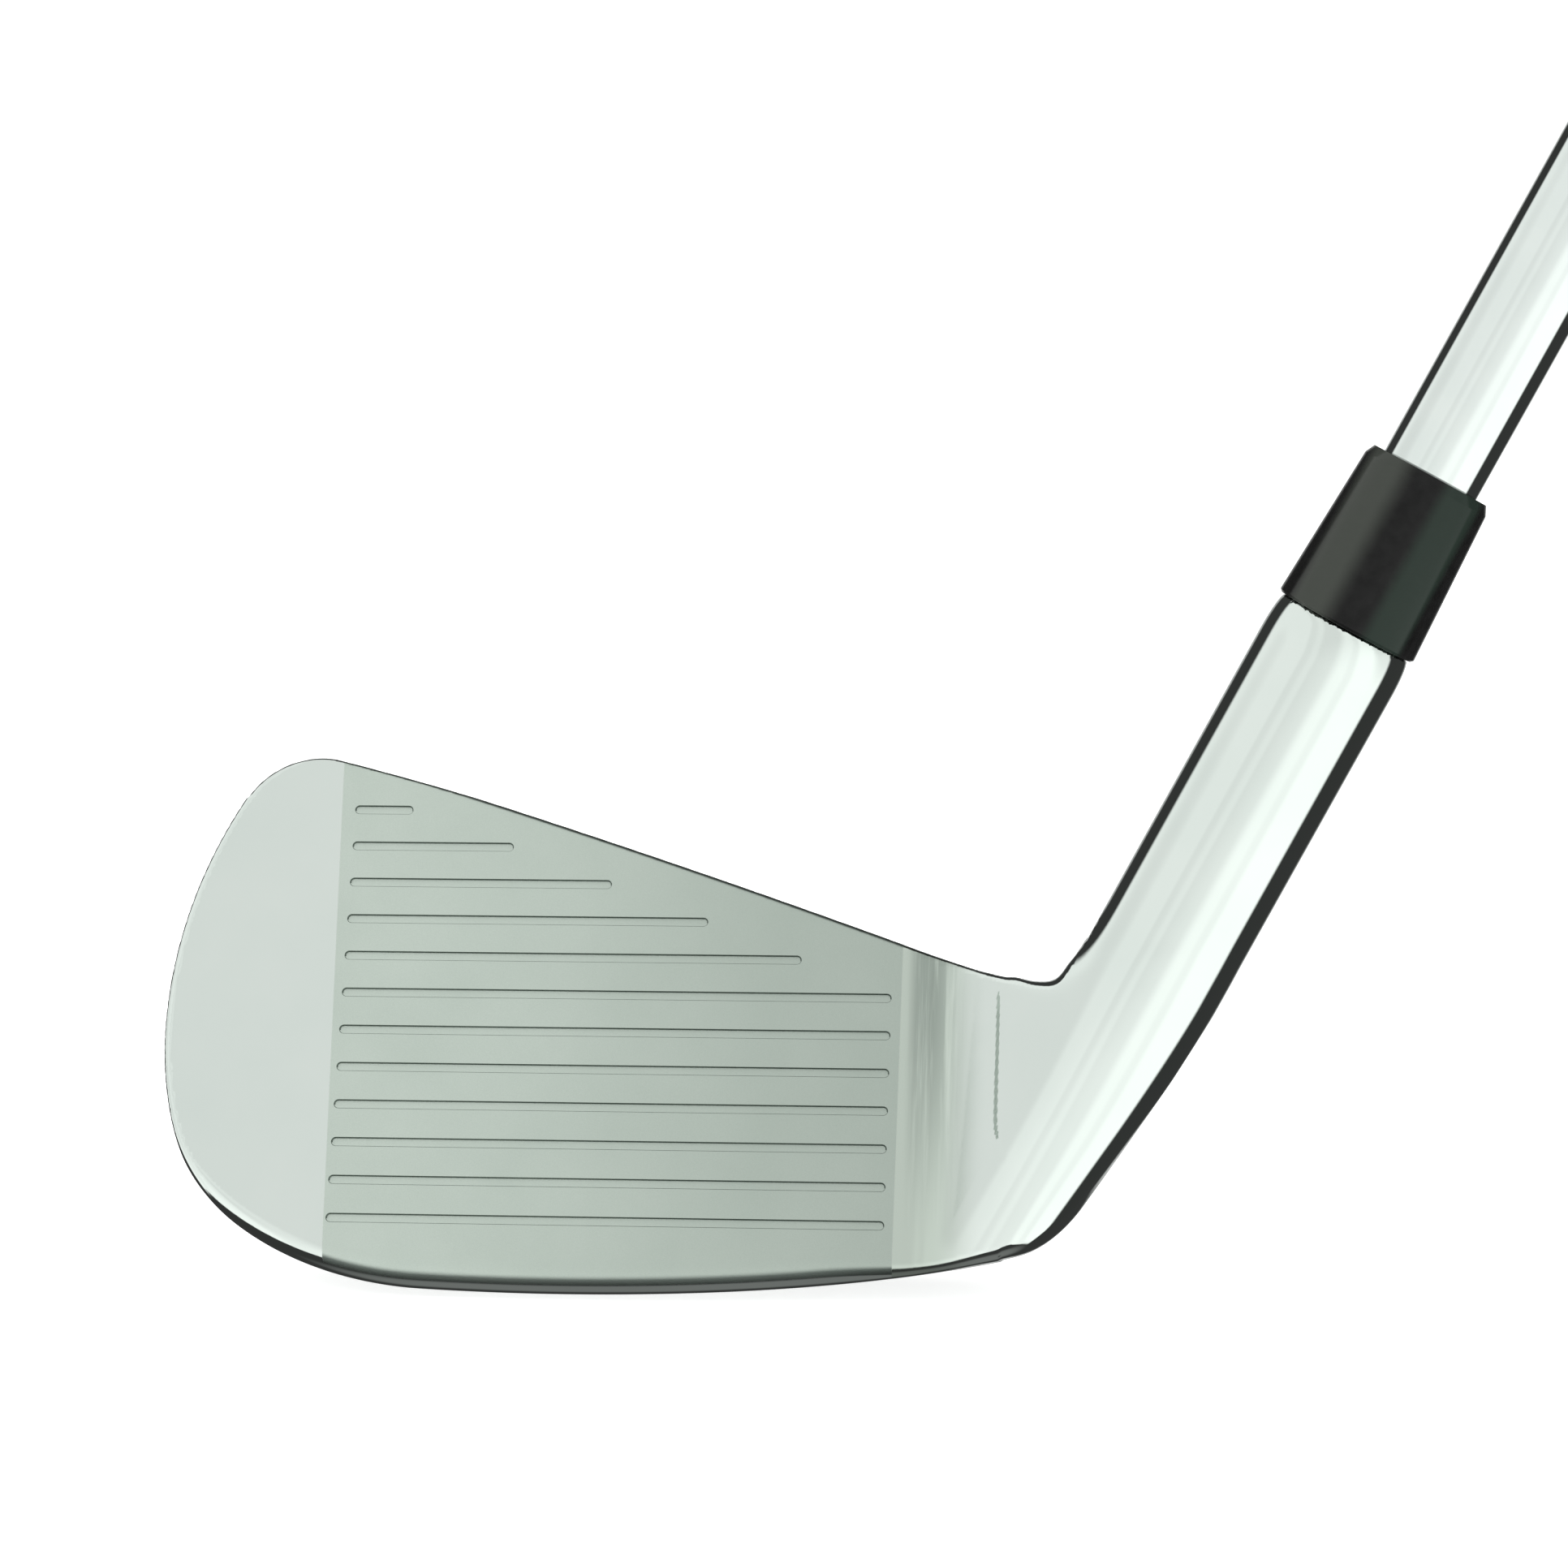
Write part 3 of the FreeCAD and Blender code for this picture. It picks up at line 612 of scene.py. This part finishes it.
def groove_cutters():
    """Cutters with rounded ends and sloping walls, one for each score line."""
    arc = math.pi / 2 - math.pi * np.arange(13) / 12
    size = 2 * len(arc)
    last = (len(LINE_RINGS) - 1) * size
    points = []
    faces = []
    for i in range(LINES):
        v = LINE_FIRST + LINE_PITCH * i
        for n, r, lean in LINE_RINGS:
            for x, turn in ((line_end(i, v), arc), (LINE_TOE, arc - math.pi)):
                height = v + lean + r * np.sin(turn)
                points.append(on_face(x + r * np.cos(turn), height, np.full_like(turn, n)))
        base = i * (last + size)
        for k in range(len(LINE_RINGS) - 1):
            for j in range(size):
                a = base + k * size + j
                b = base + k * size + (j + 1) % size
                faces.append((a, b, b + size, a + size))
        faces.append(tuple(base + j for j in reversed(range(size))))
        faces.append(tuple(base + last + j for j in range(size)))
    return mesh_object("groove_cutters", np.concatenate(points), faces)


def head_piece():
    """The forging with its score lines cut in."""
    points, quads = net(head_field, (-42.6, -4.2, -0.6), (77.0, 30.0, 67.6), 0.42)
    head = mesh_object("head_forging", settle(head_field, points, 0.25), quads)
    cutters = groove_cutters()
    cut = head.modifiers.new("score_lines", "BOOLEAN")
    cut.operation = "DIFFERENCE"
    cut.solver = "MANIFOLD"
    cut.object = cutters
    applied(head)
    bpy.data.objects.remove(cutters)
    field_normals(head, head_field)
    return head


def badge_piece():
    """Badge plate, made in face coordinates and then set in the cavity."""
    points, quads = net(badge_field, (-40.0, 16.8, -5.1), (27.0, 47.0, -3.7), 0.26)
    points = settle(badge_field, points, 0.15)
    badge = mesh_object("badge_plate", on_face(points[:, 0], points[:, 1], points[:, 2]), quads)

    def in_place(p):
        q = p - FACE_ORIGIN
        return badge_field(np.stack([q[:, 0], q @ UPFACE, q @ NORMAL], axis=-1))

    field_normals(badge, in_place)
    return badge


# ------------------------------------------------------------------ turned pieces
SHAFT_LINE = (GROUND_AXIS, SHAFT_DIR)
WEIGHT_LINE = (np.array([WEIGHT_X, 0.0, WEIGHT_Z]), np.array([0.0, 1.0, 0.0]))


def turned_points(radii, heights, segments, line=SHAFT_LINE):
    """Rings of points about a line; radii holds one value, or one row of values, per ring."""
    origin, along = line
    helper = np.array([0.0, 0.0, 1.0]) if abs(along[1]) > 0.9 else np.array([0.0, 1.0, 0.0])
    e1 = np.cross(helper, along)
    e1 /= np.linalg.norm(e1)
    e2 = np.cross(along, e1)
    t = 2 * math.pi * np.arange(segments) / segments
    ring = np.cos(t)[:, None] * e1 + np.sin(t)[:, None] * e2
    radii = np.asarray(radii, float)
    if radii.ndim == 1:
        radii = np.repeat(radii[:, None], segments, axis=1)
    centre = origin + np.asarray(heights, float)[:, None] * along
    return (centre[:, None, :] + radii[..., None] * ring[None]).reshape(-1, 3)


def loop_faces(rings, segments):
    """Quads between rings of points, with the last ring joined to the first."""
    i = np.arange(rings)[:, None]
    j = np.arange(segments)[None]
    beside = (j + 1) % segments
    this = i * segments
    following = (i + 1) % rings * segments
    corners = (this + j, this + beside, following + beside, following + j)
    return np.stack([c.ravel() for c in corners], axis=1)


def eased(profile, radius, steps=3):
    """Profile with each corner replaced by a small curve."""
    out = []
    n = len(profile)
    for i in range(n):
        p = np.array(profile[i], float)
        a = np.array(profile[i - 1], float) - p
        b = np.array(profile[(i + 1) % n], float) - p
        la = np.linalg.norm(a)
        lb = np.linalg.norm(b)
        reach = min(radius, la * 0.4, lb * 0.4)
        p0 = p + a / la * reach
        p1 = p + b / lb * reach
        for k in range(steps + 1):
            t = k / steps
            out.append(tuple((1 - t) ** 2 * p0 + 2 * t * (1 - t) * p + t * t * p1))
    return out


def turned(name, profile, segments, radius, line=SHAFT_LINE):
    """Closed solid of revolution from a loop of (radius, height) corners."""
    loop = eased(profile, radius)
    pts = turned_points([p[0] for p in loop], [p[1] for p in loop], segments, line)
    obj = mesh_object(name, pts, loop_faces(len(loop), segments))
    shade(obj, 35.0)
    return obj


def shade(obj, angle):
    mesh = obj.data
    mesh.polygons.foreach_set("use_smooth", np.ones(len(mesh.polygons), dtype=bool))
    mesh.set_sharp_from_angle(angle=math.radians(angle))


def ferrule_piece():
    """Tapered ring with a chamfered top."""
    return turned("ferrule_black", FERRULE_PROFILE, 160, 0.05)


def shaft_piece():
    """Stepped tube whose wall thins from tip to butt."""
    outer = [(TIP_R, SHAFT_BOTTOM)]
    for i in range(STEPS):
        k = FIRST_STEP + STEP_PITCH * i
        outer.append((TIP_R + (BUTT_R - TIP_R) / STEPS * i, k))
        outer.append((TIP_R + (BUTT_R - TIP_R) / STEPS * (i + 1), k + 1.2))
    outer.append((BUTT_R, SHAFT_TOP))
    inner = [(r - 0.65 + 0.29 * (r - TIP_R) / (BUTT_R - TIP_R), k) for r, k in reversed(outer)]
    return turned("shaft_steel", outer + inner, 160, 0.05)


def grip_base():
    """Height and radius of the plain grip, from its mouth to the cap."""
    low = CLUB_LENGTH - GRIP_LENGTH
    length = GRIP_LENGTH - CAP_T
    keys = ((0.0, 8.3), (1.0, 9.3), (5.0, 9.3), (5.6, 8.8), (7.4, 8.9), (8.0, 9.5), (80.0, 10.8),
            (length - 60.0, 12.0), (length - 18.0, 13.2), (length - 1.0, 14.0), (length, 14.2))
    heights = np.concatenate([np.arange(0.0, 10.0, 0.2), np.arange(10.0, length, 0.55), [length]])
    return low + heights, np.interp(heights, [k[0] for k in keys], [k[1] for k in keys])


def lozenges(k, length, segments):
    """Depth of the moulded lozenges at height k, broken by three plain rings."""
    theta = np.arange(segments)[None] / segments * 28
    a = theta + k / 3.4
    b = theta - k / 3.4
    edge = np.minimum(np.abs(a - np.floor(a) - 0.5), np.abs(b - np.floor(b) - 0.5)) * 2
    panel = smooth((k - 14.0) / 3.0) * smooth((length - 24.0 - k) / 3.0)
    for place in (70.0, 130.0, 190.0):
        panel = panel * smooth((np.abs(k - place) - 2.5) / 1.2)
    return 0.38 * panel * smooth((edge - 0.22) / 0.3)


def grip_piece():
    """Rubber sleeve with a moulded pattern outside and the shaft's bore inside."""
    segments = 168
    heights, base = grip_base()
    low, top = heights[0], heights[-1]
    radii = base[:, None] - lozenges(heights[:, None] - low, top - low, segments)
    wide = BUTT_R + 0.2
    inner = ((6.0, top), (6.0, GRIP_FLOOR), (wide, GRIP_FLOOR))
    inner += ((wide, low + 3), (BUTT_R, low + 3), (BUTT_R, low))
    rows = np.concatenate([radii] + [np.full((1, segments), r) for r, _ in inner])
    places = np.concatenate([heights, [h for _, h in inner]])
    points = turned_points(rows, places, segments)
    obj = mesh_object("grip_rubber_sleeve", points, loop_faces(len(places), segments))
    shade(obj, 60.0)
    return obj


def cap_piece():
    """Butt cap with a rounded edge, two moulded rings and the vent."""
    end = CLUB_LENGTH
    k0 = end - CAP_T
    profile = [(VENT_R, GRIP_FLOOR), (6.0, GRIP_FLOOR), (6.0, k0), (CAP_R - 0.4, k0)]
    profile += [(CAP_R, k0 + 0.8), (CAP_R, k0 + 2.6)]
    profile += [(CAP_R - 0.5, end - 1.1), (CAP_R - 1.6, end - 0.4), (CAP_R - 4.0, end)]
    for r in (9.4, 4.8):
        profile += [(r + 0.5, end), (r + 0.3, end - 0.45), (r - 0.3, end - 0.45), (r - 0.5, end)]
    profile += [(VENT_R + 0.6, end), (VENT_R, end - 0.5)]
    return turned("butt_cap", profile, 144, 0.25)


def weight_piece():
    """Turned plug: chamfered rear face with one ring and a centre mark."""
    start = WEIGHT_FRONT
    end = WEIGHT_REAR
    profile = [(0.02, start), (WEIGHT_R - 0.3, start), (WEIGHT_R, start + 0.3), (WEIGHT_R, end - 0.5)]
    profile += [(3.5, end), (2.75, end), (2.6, end - 0.15), (2.3, end - 0.15), (2.15, end)]
    profile += [(0.9, end), (0.02, end - 0.5)]
    return turned("toe_plug", profile, 96, 0.06, WEIGHT_LINE)


# ------------------------------------------------------------------ camera and surroundings
def camera():
    data = bpy.data.cameras.new("view")
    data.sensor_width = 36.0
    data.lens = CAMERA_LENS
    data.clip_start = 0.01
    data.clip_end = 20
    obj = bpy.data.objects.new("view", data)
    SCENE.collection.objects.link(obj)
    forward = Vector(CAMERA_FORWARD).normalized()
    right = forward.cross(Vector(CAMERA_UP)).normalized()
    up = right.cross(forward)
    turn = Matrix((right, up, -forward)).transposed().to_4x4()
    obj.matrix_world = Matrix.Translation(CAMERA_PLACE) @ turn
    SCENE.camera = obj


class Nodes:
    """Small helper to build a node tree."""

    def __init__(self, tree):
        self.tree = tree
        tree.nodes.clear()

    def add(self, kind, inputs, **props):
        node = self.tree.nodes.new(kind)
        for key, value in props.items():
            setattr(node, key, value)
        for key, value in inputs.items():
            self.put(node.inputs[key], value)
        return node

    def put(self, socket, value):
        if isinstance(value, bpy.types.NodeSocket):
            self.tree.links.new(value, socket)
        else:
            socket.default_value = value

    def math(self, op, a, b=0.0):
        return self.add("ShaderNodeMath", {0: a, 1: b}, operation=op).outputs[0]

    def sum(self, a, b):
        return self.math("ADD", a, b)

    def less(self, a, b):
        return self.math("SUBTRACT", a, b)

    def times(self, a, b):
        return self.math("MULTIPLY", a, b)

    def step(self, value, low, high, to_min=0.0, to_max=1.0):
        inputs = {0: value, 1: low, 2: high, 3: to_min, 4: to_max}
        return self.add("ShaderNodeMapRange", inputs, interpolation_type="SMOOTHSTEP").outputs[0]

    def band(self, value, first, last):
        """One between two soft edges, nought outside them."""
        return self.times(self.step(value, *first), self.step(value, *last))

    def mix(self, factor, a, b):
        return self.add("ShaderNodeMix", {0: factor, 6: a, 7: b}, data_type="RGBA").outputs[2]

    def blend(self, factor, a, b):
        return self.add("ShaderNodeMix", {0: factor, 2: a, 3: b}, data_type="FLOAT").outputs[0]

    def noise(self, vector, scale, detail=2.0, rough=0.5):
        inputs = {"Vector": vector, "Scale": scale, "Detail": detail, "Roughness": rough}
        return self.add("ShaderNodeTexNoise", inputs).outputs[0]

    def stretched(self, vector, scale):
        return self.add("ShaderNodeMapping", {"Vector": vector, "Scale": scale}).outputs[0]

    def split(self, vector):
        return self.add("ShaderNodeSeparateXYZ", {0: vector}).outputs

    def bump(self, height, strength, distance):
        inputs = {"Strength": strength, "Distance": distance, "Height": height}
        return self.add("ShaderNodeBump", inputs).outputs[0]


# Bright and dark bands of the studio across x: start, end and change of level.
LIGHT_BANDS = (
    (-0.93, -0.85, 0.13), (-0.62, -0.55, -0.10), (-0.50, -0.40, 0.06), (-0.36, -0.25, -0.10),
    (0.05, 0.30, 0.20), (0.40, 0.50, -0.08), (0.55, 0.65, 0.15), (0.84, 0.95, -0.30),
)


def studio_level(k, x, z):
    level = 0.92
    for low, high, change in LIGHT_BANDS:
        level = k.sum(level, k.step(x, low, high, 0.0, change))
    return k.sum(level, k.step(z, 0.30, -0.35, 0.0, 0.22))


def surroundings():
    """Studio in front of the club, dark at the sides and below, with a dim glow behind and under it."""
    world = bpy.data.worlds.new("studio")
    world.use_nodes = True
    SCENE.world = world
    k = Nodes(world.node_tree)
    coord = k.add("ShaderNodeTexCoord", {})
    x, y, z = k.split(coord.outputs["Generated"])
    turned_y = k.sum(y, k.step(x, -0.3, 0.4, 0.0, 0.32))
    front = k.step(turned_y, 0.52, 0.40)
    limit = k.less(-0.52, k.step(x, 0.0, 0.8, 0.0, 0.42))
    above = k.step(k.less(z, limit), 0.0, 0.06)
    light = k.times(k.times(front, above), studio_level(k, x, z))
    glow = k.sum(k.step(z, -0.80, -0.97, 0.0, 0.16), k.step(y, 0.88, 0.97, 0.0, 0.5))
    light = k.sum(light, k.sum(glow, 0.045))
    ray = k.add("ShaderNodeLightPath", {}).outputs["Is Camera Ray"]
    inputs = {"Color": (0.985, 1.0, 0.985, 1), "Strength": k.blend(ray, light, 1.1)}
    back = k.add("ShaderNodeBackground", inputs)
    k.add("ShaderNodeOutputWorld", {"Surface": back.outputs[0]})


def material(name):
    """New material with its node helper, shader and object coordinates."""
    mat = bpy.data.materials.new(name)
    mat.use_nodes = True
    k = Nodes(mat.node_tree)
    bsdf = k.add("ShaderNodeBsdfPrincipled", {})
    k.add("ShaderNodeOutputMaterial", {"Surface": bsdf.outputs[0]})
    coord = k.add("ShaderNodeTexCoord", {}).outputs["Object"]
    return mat, k, bsdf, coord


def floor():
    mat, k, bsdf, coord = material("pale_floor")
    bsdf.inputs["Base Color"].default_value = (0.86, 0.86, 0.86, 1)
    bsdf.inputs["Roughness"].default_value = 0.9
    bsdf.inputs["Emission Color"].default_value = (1, 1, 1, 1)
    bsdf.inputs["Emission Strength"].default_value = 0.75
    size = 6.0
    pts = [(-size, -size, 0.0), (size, -size, 0.0), (size, size, 0.0), (-size, size, 0.0)]
    obj = mesh_object("floor", pts, [(0, 1, 2, 3)], scale=1.0)
    obj.data.materials.append(mat)
    obj.visible_glossy = False


def key_lights():
    """Soft lamps that only brighten rough surfaces; the metal mirrors the studio instead."""
    aim = Vector((0.1, 0.0, 0.2))
    for name, place, size, watts in (
        ("key", (-0.9, -1.9, 1.8), 1.6, 14.0),
        ("fill", (1.6, -1.4, 1.2), 1.4, 7.0),
        ("rim", (0.3, 1.6, 1.9), 1.2, 6.0),
    ):
        data = bpy.data.lights.new(name, "AREA")
        data.energy = watts
        data.size = size
        obj = bpy.data.objects.new(name, data)
        obj.location = place
        SCENE.collection.objects.link(obj)
        obj.rotation_euler = (aim - Vector(place)).to_track_quat("-Z", "Y").to_euler()
        obj.visible_glossy = False


# ------------------------------------------------------------------ materials, metres
def opaque(colour, share=1.0):
    return tuple(c * share for c in colour) + (1,)


def face_coordinates(k, coord):
    """Height up the face and distance out of it."""
    x, y, z = k.split(coord)
    rise = k.less(z, FACE_RISE * MM)
    v = k.sum(k.times(rise, math.cos(LOFT)), k.times(y, math.sin(LOFT)))
    out = k.less(k.times(rise, math.sin(LOFT)), k.times(y, math.cos(LOFT)))
    return x, v, out


def shaft_coordinates(k, coord):
    """Distance along the shaft's direction, and across its axis seen from the front."""
    x, y, z = k.split(coord)
    along = k.sum(k.times(x, SHAFT_DIR[0]), k.times(z, SHAFT_DIR[2]))
    across = k.less(k.times(k.less(x, GROUND_AXIS[0] * MM), SHAFT_DIR[2]), k.times(z, SHAFT_DIR[0]))
    return along, across


def scored_zone(k, x, v, out):
    """Mask of the blasted zone between its two slightly slanting edges."""
    left = k.sum(-0.0249, k.times(v, -0.0261))
    right = k.sum(0.02805, k.times(v, 0.004))
    inside = k.times(k.step(k.less(x, left), -0.00004, 0.00006), k.step(k.less(right, x), -0.00004, 0.00006))
    return k.times(inside, k.step(out, -0.00085, -0.00070))


def polished_colour_and_painted_light(k, coord, cloud, x, v, near):
    """Bright chrome, with painted shade on the satin strip beside the zone and a streaky patch of painted
    dark reflection in it.
    """
    streak = k.noise(k.stretched(coord, (1500.0, 60.0, 60.0)), 1.0, 3.0, 0.6)
    # Painted shade: the satin strip beside the zone is painted darker than the rest of the chrome.
    satin_painted_shade = k.times(k.band(x, (0.0279, 0.0281), (0.0365, 0.0315)), near)
    # Painted reflection: a streaky dark patch beside the hosel, darker towards the top.
    painted_reflection_patch = k.band(x, (0.0284, 0.0300), (0.0350, 0.0312))
    painted_reflection_patch = k.times(painted_reflection_patch, k.times(k.step(v, 0.002, 0.028), near))
    painted_reflection_patch = k.times(painted_reflection_patch, k.step(streak, 0.22, 0.60))
    polish = k.mix(cloud, (0.640, 0.700, 0.668, 1), (0.700, 0.745, 0.715, 1))
    polish = k.mix(k.times(satin_painted_shade, 0.8), polish, (0.47, 0.53, 0.47, 1))
    return k.mix(k.times(painted_reflection_patch, 0.85), polish, (0.26, 0.30, 0.27, 1))


def blasted_colour_and_painted_shade(k, coord, cloud, grain, x, out):
    """Sandblasted chrome: grainy and smudged, with painted shade that darkens it towards the heel and on the
    groove walls.
    """
    blast = k.mix(cloud, (0.530, 0.600, 0.545, 1), (0.640, 0.705, 0.650, 1))
    blast = k.mix(k.times(grain, 0.35), blast, (0.36, 0.42, 0.38, 1))
    # Painted shade: the blasted tone is painted darker towards the heel.
    blast = k.mix(k.step(x, -0.020, 0.030, 0.0, 0.40), blast, (0.24, 0.28, 0.25, 1))
    smudge = k.step(k.noise(coord, 45.0, 3.0, 0.6), 0.56, 0.74, 0.0, 0.22)
    blast = k.mix(smudge, blast, (0.30, 0.34, 0.31, 1))
    # Painted shade on the groove walls: faces turned away from the face plane, just under its surface, are
    # painted nearly black.
    normal = k.add("ShaderNodeNewGeometry", {}).outputs["Normal"]
    facing = k.add("ShaderNodeVectorMath", {0: normal, 1: tuple(NORMAL)}, operation="DOT_PRODUCT").outputs[1]
    wall = k.times(k.step(facing, 0.93, 0.80), k.step(out, 0.00002, -0.00003))
    return k.mix(k.times(wall, 0.80), blast, (0.08, 0.10, 0.09, 1))


def chrome_head_material():
    mat, k, bsdf, coord = material("chrome_head")
    x, v, out = face_coordinates(k, coord)
    near = k.step(out, -0.0030, -0.0024)
    zone = scored_zone(k, x, v, out)
    grain = k.noise(coord, 9000.0, 2.0, 0.6)
    cloud = k.noise(coord, 90.0, 3.0, 0.55)
    smear = k.noise(coord, 420.0, 2.0, 0.5)
    brushed = k.times(k.band(x, (0.0279, 0.0281), (0.0380, 0.0330)), near)
    rough_zone = k.sum(0.40, k.times(grain, 0.10))
    rough_polish = k.sum(k.sum(0.035, k.times(smear, 0.035)), k.times(brushed, 0.13))
    polish = polished_colour_and_painted_light(k, coord, cloud, x, v, near)
    blast = blasted_colour_and_painted_shade(k, coord, cloud, grain, x, out)
    k.put(bsdf.inputs["Base Color"], k.mix(zone, polish, blast))
    k.put(bsdf.inputs["Roughness"], k.blend(zone, rough_polish, rough_zone))
    k.put(bsdf.inputs["Normal"], k.bump(grain, k.times(zone, 0.5), 0.00003))
    bsdf.inputs["Metallic"].default_value = 1.0
    return mat


def chrome_shaft_material():
    mat, k, bsdf, coord = material("chrome_shaft")
    smear = k.noise(coord, 260.0, 3.0, 0.5)
    fine = k.noise(coord, 3500.0, 2.0, 0.5)
    tone = k.mix(smear, (0.66, 0.71, 0.69, 1), (0.72, 0.76, 0.74, 1))
    k.put(bsdf.inputs["Base Color"], tone)
    k.put(bsdf.inputs["Roughness"], k.sum(0.04, k.times(k.times(smear, fine), 0.07)))
    bsdf.inputs["Metallic"].default_value = 1.0
    return mat


def gloss_black_material():
    """Polished black: fine turning lines round the shaft axis under a hazy gloss, with two lengthwise strips
    of painted reflection either side of its front.
    """
    mat, k, bsdf, coord = material("ferrule_black")
    along, across = shaft_coordinates(k, coord)
    rings = k.math("SINE", k.times(along, 21000.0))
    haze = k.noise(coord, 900.0, 3.0, 0.5)
    # Painted reflection: two lighter lengthwise strips, one each side of the front.
    left = k.band(across, (-0.0062, -0.0052), (-0.0012, -0.0034))
    right = k.band(across, (0.0008, 0.0022), (0.0056, 0.0048))
    base = (0.012, 0.012, 0.012)
    tone = k.mix(haze, opaque(base, 0.3), opaque(base))
    tone = k.mix(k.times(left, 0.8), tone, (0.050, 0.055, 0.048, 1))
    tone = k.mix(k.times(right, 0.8), tone, (0.018, 0.028, 0.022, 1))
    k.put(bsdf.inputs["Base Color"], tone)
    k.put(bsdf.inputs["Roughness"], k.sum(0.08, k.times(haze, 0.06)))
    k.put(bsdf.inputs["Normal"], k.bump(k.sum(haze, k.times(rings, 0.3)), 0.06, 0.00002))
    bsdf.inputs["Specular IOR Level"].default_value = 0.12
    return mat


def plain_grain(name, base, rough, metallic=0.0):
    """One colour with a fine grain in tone, roughness and relief."""
    mat, k, bsdf, coord = material(name)
    grain = k.noise(coord, 2500.0, 3.0, 0.6)
    k.put(bsdf.inputs["Base Color"], k.mix(grain, opaque(base, 0.72), opaque(base)))
    k.put(bsdf.inputs["Roughness"], k.sum(rough - 0.06, k.times(grain, 0.12)))
    k.put(bsdf.inputs["Normal"], k.bump(grain, 0.25, 0.00004))
    bsdf.inputs["Metallic"].default_value = metallic
    return mat


def brushed_plate(name, base, rough):
    """Brushed metal: fine streaks along x over slow tone changes."""
    mat, k, bsdf, coord = material(name)
    streak = k.noise(k.stretched(coord, (12.0, 1400.0, 1400.0)), 1.0, 3.0, 0.6)
    cloud = k.noise(coord, 120.0, 2.0, 0.5)
    dark = opaque(base, 0.70)
    tone = k.mix(streak, dark, opaque(base))
    k.put(bsdf.inputs["Base Color"], k.mix(k.times(cloud, 0.25), tone, dark))
    k.put(bsdf.inputs["Roughness"], k.sum(rough - 0.08, k.times(streak, 0.16)))
    k.put(bsdf.inputs["Normal"], k.bump(streak, 0.2, 0.00003))
    bsdf.inputs["Metallic"].default_value = 0.55
    return mat


def label_material():
    """Dark printed film with three pale rings, placed along the shaft."""
    mat, k, bsdf, coord = material("label_film")
    along = shaft_coordinates(k, coord)[0]
    offset = float(GROUND_AXIS @ SHAFT_DIR) * MM
    rings = 0.0
    for place, half in ((0.650, 0.0006), (0.662, 0.0035), (0.674, 0.0006)):
        gap = k.math("ABSOLUTE", k.less(along, place + offset))
        rings = k.math("MAXIMUM", rings, k.step(gap, half + 0.0001, half - 0.0001))
    grain = k.noise(coord, 1800.0, 3.0, 0.6)
    film = k.mix(grain, (0.035, 0.038, 0.038, 1), (0.060, 0.065, 0.065, 1))
    k.put(bsdf.inputs["Base Color"], k.mix(rings, film, (0.55, 0.57, 0.56, 1)))
    k.put(bsdf.inputs["Roughness"], k.sum(0.18, k.times(grain, 0.12)))
    return mat


# ------------------------------------------------------------------ the scene
def stand_for(obj, node, mat):
    """Puts a finished piece in place of its CAD node."""
    obj.data.materials.clear()
    obj.data.materials.append(mat)
    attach(obj, "root")
    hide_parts(node)


def paint_node(node, mat):
    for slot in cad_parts[node].material_slots:
        slot.material = mat


camera()
surroundings()
floor()
key_lights()
SCENE.view_settings.view_transform = "Standard"

badge_metal = brushed_plate("badge_alu", (0.50, 0.52, 0.52), 0.34)
weight_metal = brushed_plate("tungsten", (0.36, 0.36, 0.37), 0.36)
grip_rubber = plain_grain("grip_rubber", (0.022, 0.022, 0.022), 0.72)
cap_rubber = plain_grain("cap_rubber", (0.032, 0.032, 0.032), 0.55)
stand_for(head_piece(), "head_body", chrome_head_material())
stand_for(ferrule_piece(), "ferrule", gloss_black_material())
stand_for(shaft_piece(), "shaft", chrome_shaft_material())
stand_for(badge_piece(), "cavity_badge", badge_metal)
stand_for(weight_piece(), "toe_weight", weight_metal)
stand_for(grip_piece(), "grip_sleeve", grip_rubber)
stand_for(cap_piece(), "grip_cap", cap_rubber)

paint_node("damping_insert", plain_grain("elastomer", (0.03, 0.03, 0.03), 0.8))
paint_node("badge_tape", plain_grain("foam_tape", (0.12, 0.12, 0.12), 0.8))
paint_node("hosel_epoxy", plain_grain("epoxy", (0.45, 0.40, 0.28), 0.3))
paint_node("tip_weight", plain_grain("brass_plug", (0.60, 0.42, 0.16), 0.35, 1.0))
paint_node("shaft_label", label_material())
paint_node("grip_tape", plain_grain("grip_adhesive", (0.70, 0.65, 0.50), 0.7))
